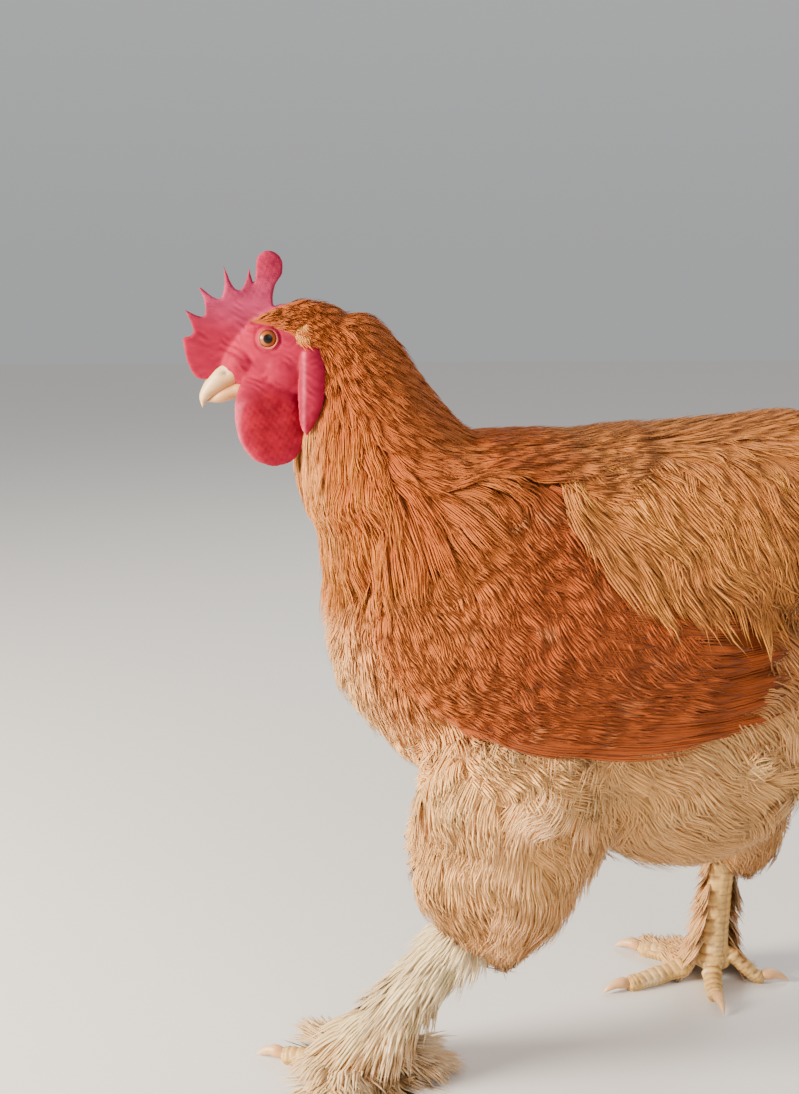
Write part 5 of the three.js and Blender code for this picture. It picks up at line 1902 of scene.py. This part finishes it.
def hanging_paths(roots, ways, length, droop, curl=0.0, steps=7):
    """Paths that set off along ways, bend down by droop, curl out, and splay on the floor."""
    level = unit(ways * [1, 1, 0]) * curl
    here, way = roots.copy(), unit(ways)
    path = [here - way * 2.5]
    for step in range(steps):
        here = here + way * (length / steps)[:, None]
        low = here[:, 2] < PATH_CLEAR
        here[low, 2] = PATH_CLEAR
        path.append(here.copy())
        way = unit(way + (np.array([0, 0, -1.0]) * droop[:, None] + level * step) / steps)
        way[low, 2] = np.abs(way[low, 2]) * 0.05
        way = unit(way)
    path = np.stack(path, 1)
    return path, unit(np.gradient(path, axis=1))


def foot_sets(leg, side, seed):
    """Paths, facings and places of the feathers round the shank and along the toes."""
    draw = np.random.default_rng(seed)
    shank = leg_tubes(leg)[0][0]
    bell = np.array(leg["bell"], float)
    count = leg["count"]
    u = draw.uniform(0.1, 0.8, count)
    turn = np.radians(draw.uniform(*leg["turns"], count))
    angle = np.pi - turn if side > 0 else turn
    roots = shank(u, angle)
    middle = 0.5 * (roots + shank(u, angle + np.pi))
    out = unit(roots - middle)
    down = unit(shank(np.clip(u + 0.05, 0, 1), angle) - shank(u, angle))
    spread = np.interp(u, np.linspace(0.1, 0.8, len(bell)), (bell - bell[0]) / (bell[-1] - bell[0]))
    ways = down + out * (0.35 + 0.9 * spread)[:, None] + draw.normal(size=out.shape) * 0.14
    length = leg["length"] * (0.65 + 0.55 * spread) * draw.uniform(0.8, 1.2, count)
    paths, ahead = hanging_paths(roots, ways, length, 0.9 + 0.9 * spread, curl=0.35)
    facings = out[:, None] + np.array([0, 0, 0.35])
    facings = unit(facings - ahead * np.einsum("nkj,nkj->nk", facings, ahead)[..., None])
    place = np.column_stack([angle / (2 * np.pi) % 1, u])
    sets = [(paths, facings, place)]
    for number, (many, reach, heading) in leg["on_toe"].items():
        path = leg["toes"][number]
        share = draw.uniform(0.05, reach, many)
        at = smooth(path, share) + np.array([0, 0, 2.0])
        swing = np.radians(heading + draw.uniform(-42, 42, many))
        way = np.column_stack([side * np.cos(swing), np.sin(swing), draw.uniform(0.0, 0.5, many)])
        long = leg["length"] * (0.95 - 0.4 * share) * draw.uniform(0.8, 1.1, many)
        toe_paths, ahead = hanging_paths(at, way, long, np.full(many, 0.7))
        up = np.broadcast_to(np.array([0, 0, 1.0]), toe_paths.shape)
        up = unit(up - ahead * np.einsum("nkj,nkj->nk", up, ahead)[..., None])
        sets.append((toe_paths, up, np.column_stack([share, np.full(many, 0.1 + 0.25 * number)])))
    return sets, draw


def foot_coat(name, leg, side, seed):
    """One foot's feathers as a piece, paler above, with warmer painted shade near the floor."""
    sets, draw = foot_sets(leg, side, seed)
    paths = np.concatenate([s[0] for s in sets])
    facings = np.concatenate([s[1] for s in sets])
    place = np.concatenate([s[2] for s in sets])
    # Painted shade: the tips turn to FOOT_SHADE near the floor.
    low = rise_between(-paths[:, -1, 2], -40, -8)
    tip = mix(leg["colour"], FOOT_SHADE, 0.6 * low)[:, None, None]
    own_tone = 1 + 0.07 * draw.normal(size=(len(paths), 1, 1, 1))

    def colours_of(share, lateral):
        shade = 0.95 + 0.05 * rise_between(share, 0.1, 0.6)[..., None]
        strand_tone = 1 + 0.04 * draw.normal(size=lateral.shape)[..., None, None]
        return np.clip(tip * own_tone * shade * strand_tone, 0, 1)

    half = draw.uniform(5.5, 9.0, len(paths))
    plan = {**PLAN, **LOOSE, "strands": 10, "stations": 5, "blade": 1.8, "half": half}
    sets = fans(paths, facings, plan, draw, colours_of, place)
    for fan in sets:
        fan[0][..., 2] = np.maximum(fan[0][..., 2], STRAND_CLEAR)
    return add_object(name, coat_mesh(name, sets))


for side_name, side in SIDES.items():
    feet = foot_coat(f"foot_{side_name}_coat", LEGS[side_name], side, SEEDS["foot"] + side)
    dress(feet, "pale_down", FOOT_FEATHERS)

# %% [markdown]
# ## Beak and eyes
# The beak is two horn sheaths, the upper hooked over the lower, browner at the root. An
# eye is a glossy ball set deep in its lids, with an amber ring round a dark pupil.

# %% Beak
UPPER_BEAK = rail_form(
    top=[(-34, 458), (-44, 463.5), (-53, 459.5), (-60, 451), (-64, 442), (-62.5, 434.3)],
    bottom=[(-34, 458), (-36, 451), (-46, 446.5), (-54, 442.5), (-59, 439), (-62.5, 434.3)],
    half=[0, 8.8, 8.0, 6.2, 3.6, 0],
)
LOWER_BEAK = rail_form(
    top=[(-32, 450), (-38, 452), (-46, 449), (-53, 445), (-59.5, 438)],
    bottom=[(-32, 450), (-34, 443), (-42, 440), (-51, 437.5), (-59.5, 438)],
    half=[0, 8, 6.8, 4.6, 0],
)
NOSTRIL = np.array([7.4, -47.5, 456.6])
NOSTRIL_SIZE = np.array([3.0, 2.4, 1.3])
NOSTRIL_DEPTH = 1.6


def add_beak(name, form):
    """One sheath, dented at the nostrils: signs left out, one place stands for both sides."""
    points, quads, tris = closed_form(form, rings=44, sides=36)
    mesh = mesh_of(name, points, [quads, tris])
    dent = np.exp(-(((np.abs(points) - np.abs(NOSTRIL)) / NOSTRIL_SIZE) ** 2).sum(-1))
    move_points(mesh, points - normals_of(mesh) * dent[:, None] * NOSTRIL_DEPTH)
    share = rise_between(-points[:, 1] + 0.8 * (points[:, 2] - 448), 44, 60)
    # Painted shade: the nostril dents are darkened to show the openings.
    tone = mix(HORN_BASE, HORN, share) * (1 - 0.75 * dent[:, None])
    paint(mesh, tone)
    dress(add_object(f"{name}_horn", mesh), "beak_horn", HORN_FINISH, replaces=[name])


add_beak("beak_upper", UPPER_BEAK)
add_beak("beak_lower", LOWER_BEAK)

# %% Eyes
EYE_RADIUS = 6.7
EYE_REACH = 18.7
PUPIL = colour(8, 3, 2)
EYE_RINGS = [
    (2.7, 3.0, colour(150, 74, 16)),
    (4.4, 4.9, colour(84, 36, 12)),
    (5.2, 5.6, colour(150, 70, 50)),
]
EYE_FINISH = painted_material(
    "eye", BARBS, 900.0, 0.12, Roughness=0.35, Coat_Weight=0.2, Coat_Roughness=0.05,
    Specular_IOR_Level=0.2,
)

for side_name, side in SIDES.items():
    centre = EYE * [0, 1, 1] + np.array([side * (EYE_REACH - EYE_RADIUS), 0, 0])

    def eyeball(u, angle, centre=centre, side=side):
        u, angle = paired(u, angle)
        polar = np.pi * u
        ring = np.sin(polar)
        p = np.stack([side * np.cos(polar), ring * np.cos(angle), ring * np.sin(angle)], -1)
        return centre + p * EYE_RADIUS

    points, quads, tris = closed_form(eyeball, rings=60, sides=40)
    off_axis = np.hypot(points[:, 1] - centre[1], points[:, 2] - centre[2])
    tone = PUPIL
    for inner, outer, ring_colour in EYE_RINGS:
        tone = mix(tone, ring_colour, rise_between(off_axis, inner, outer))
    mesh = mesh_of(f"eye_{side_name}_ball", points, [quads, tris])
    paint(mesh, tone)
    dress(add_object(f"eye_{side_name}_ball", mesh), "eye", EYE_FINISH, replaces=[f"eye_{side_name}"])
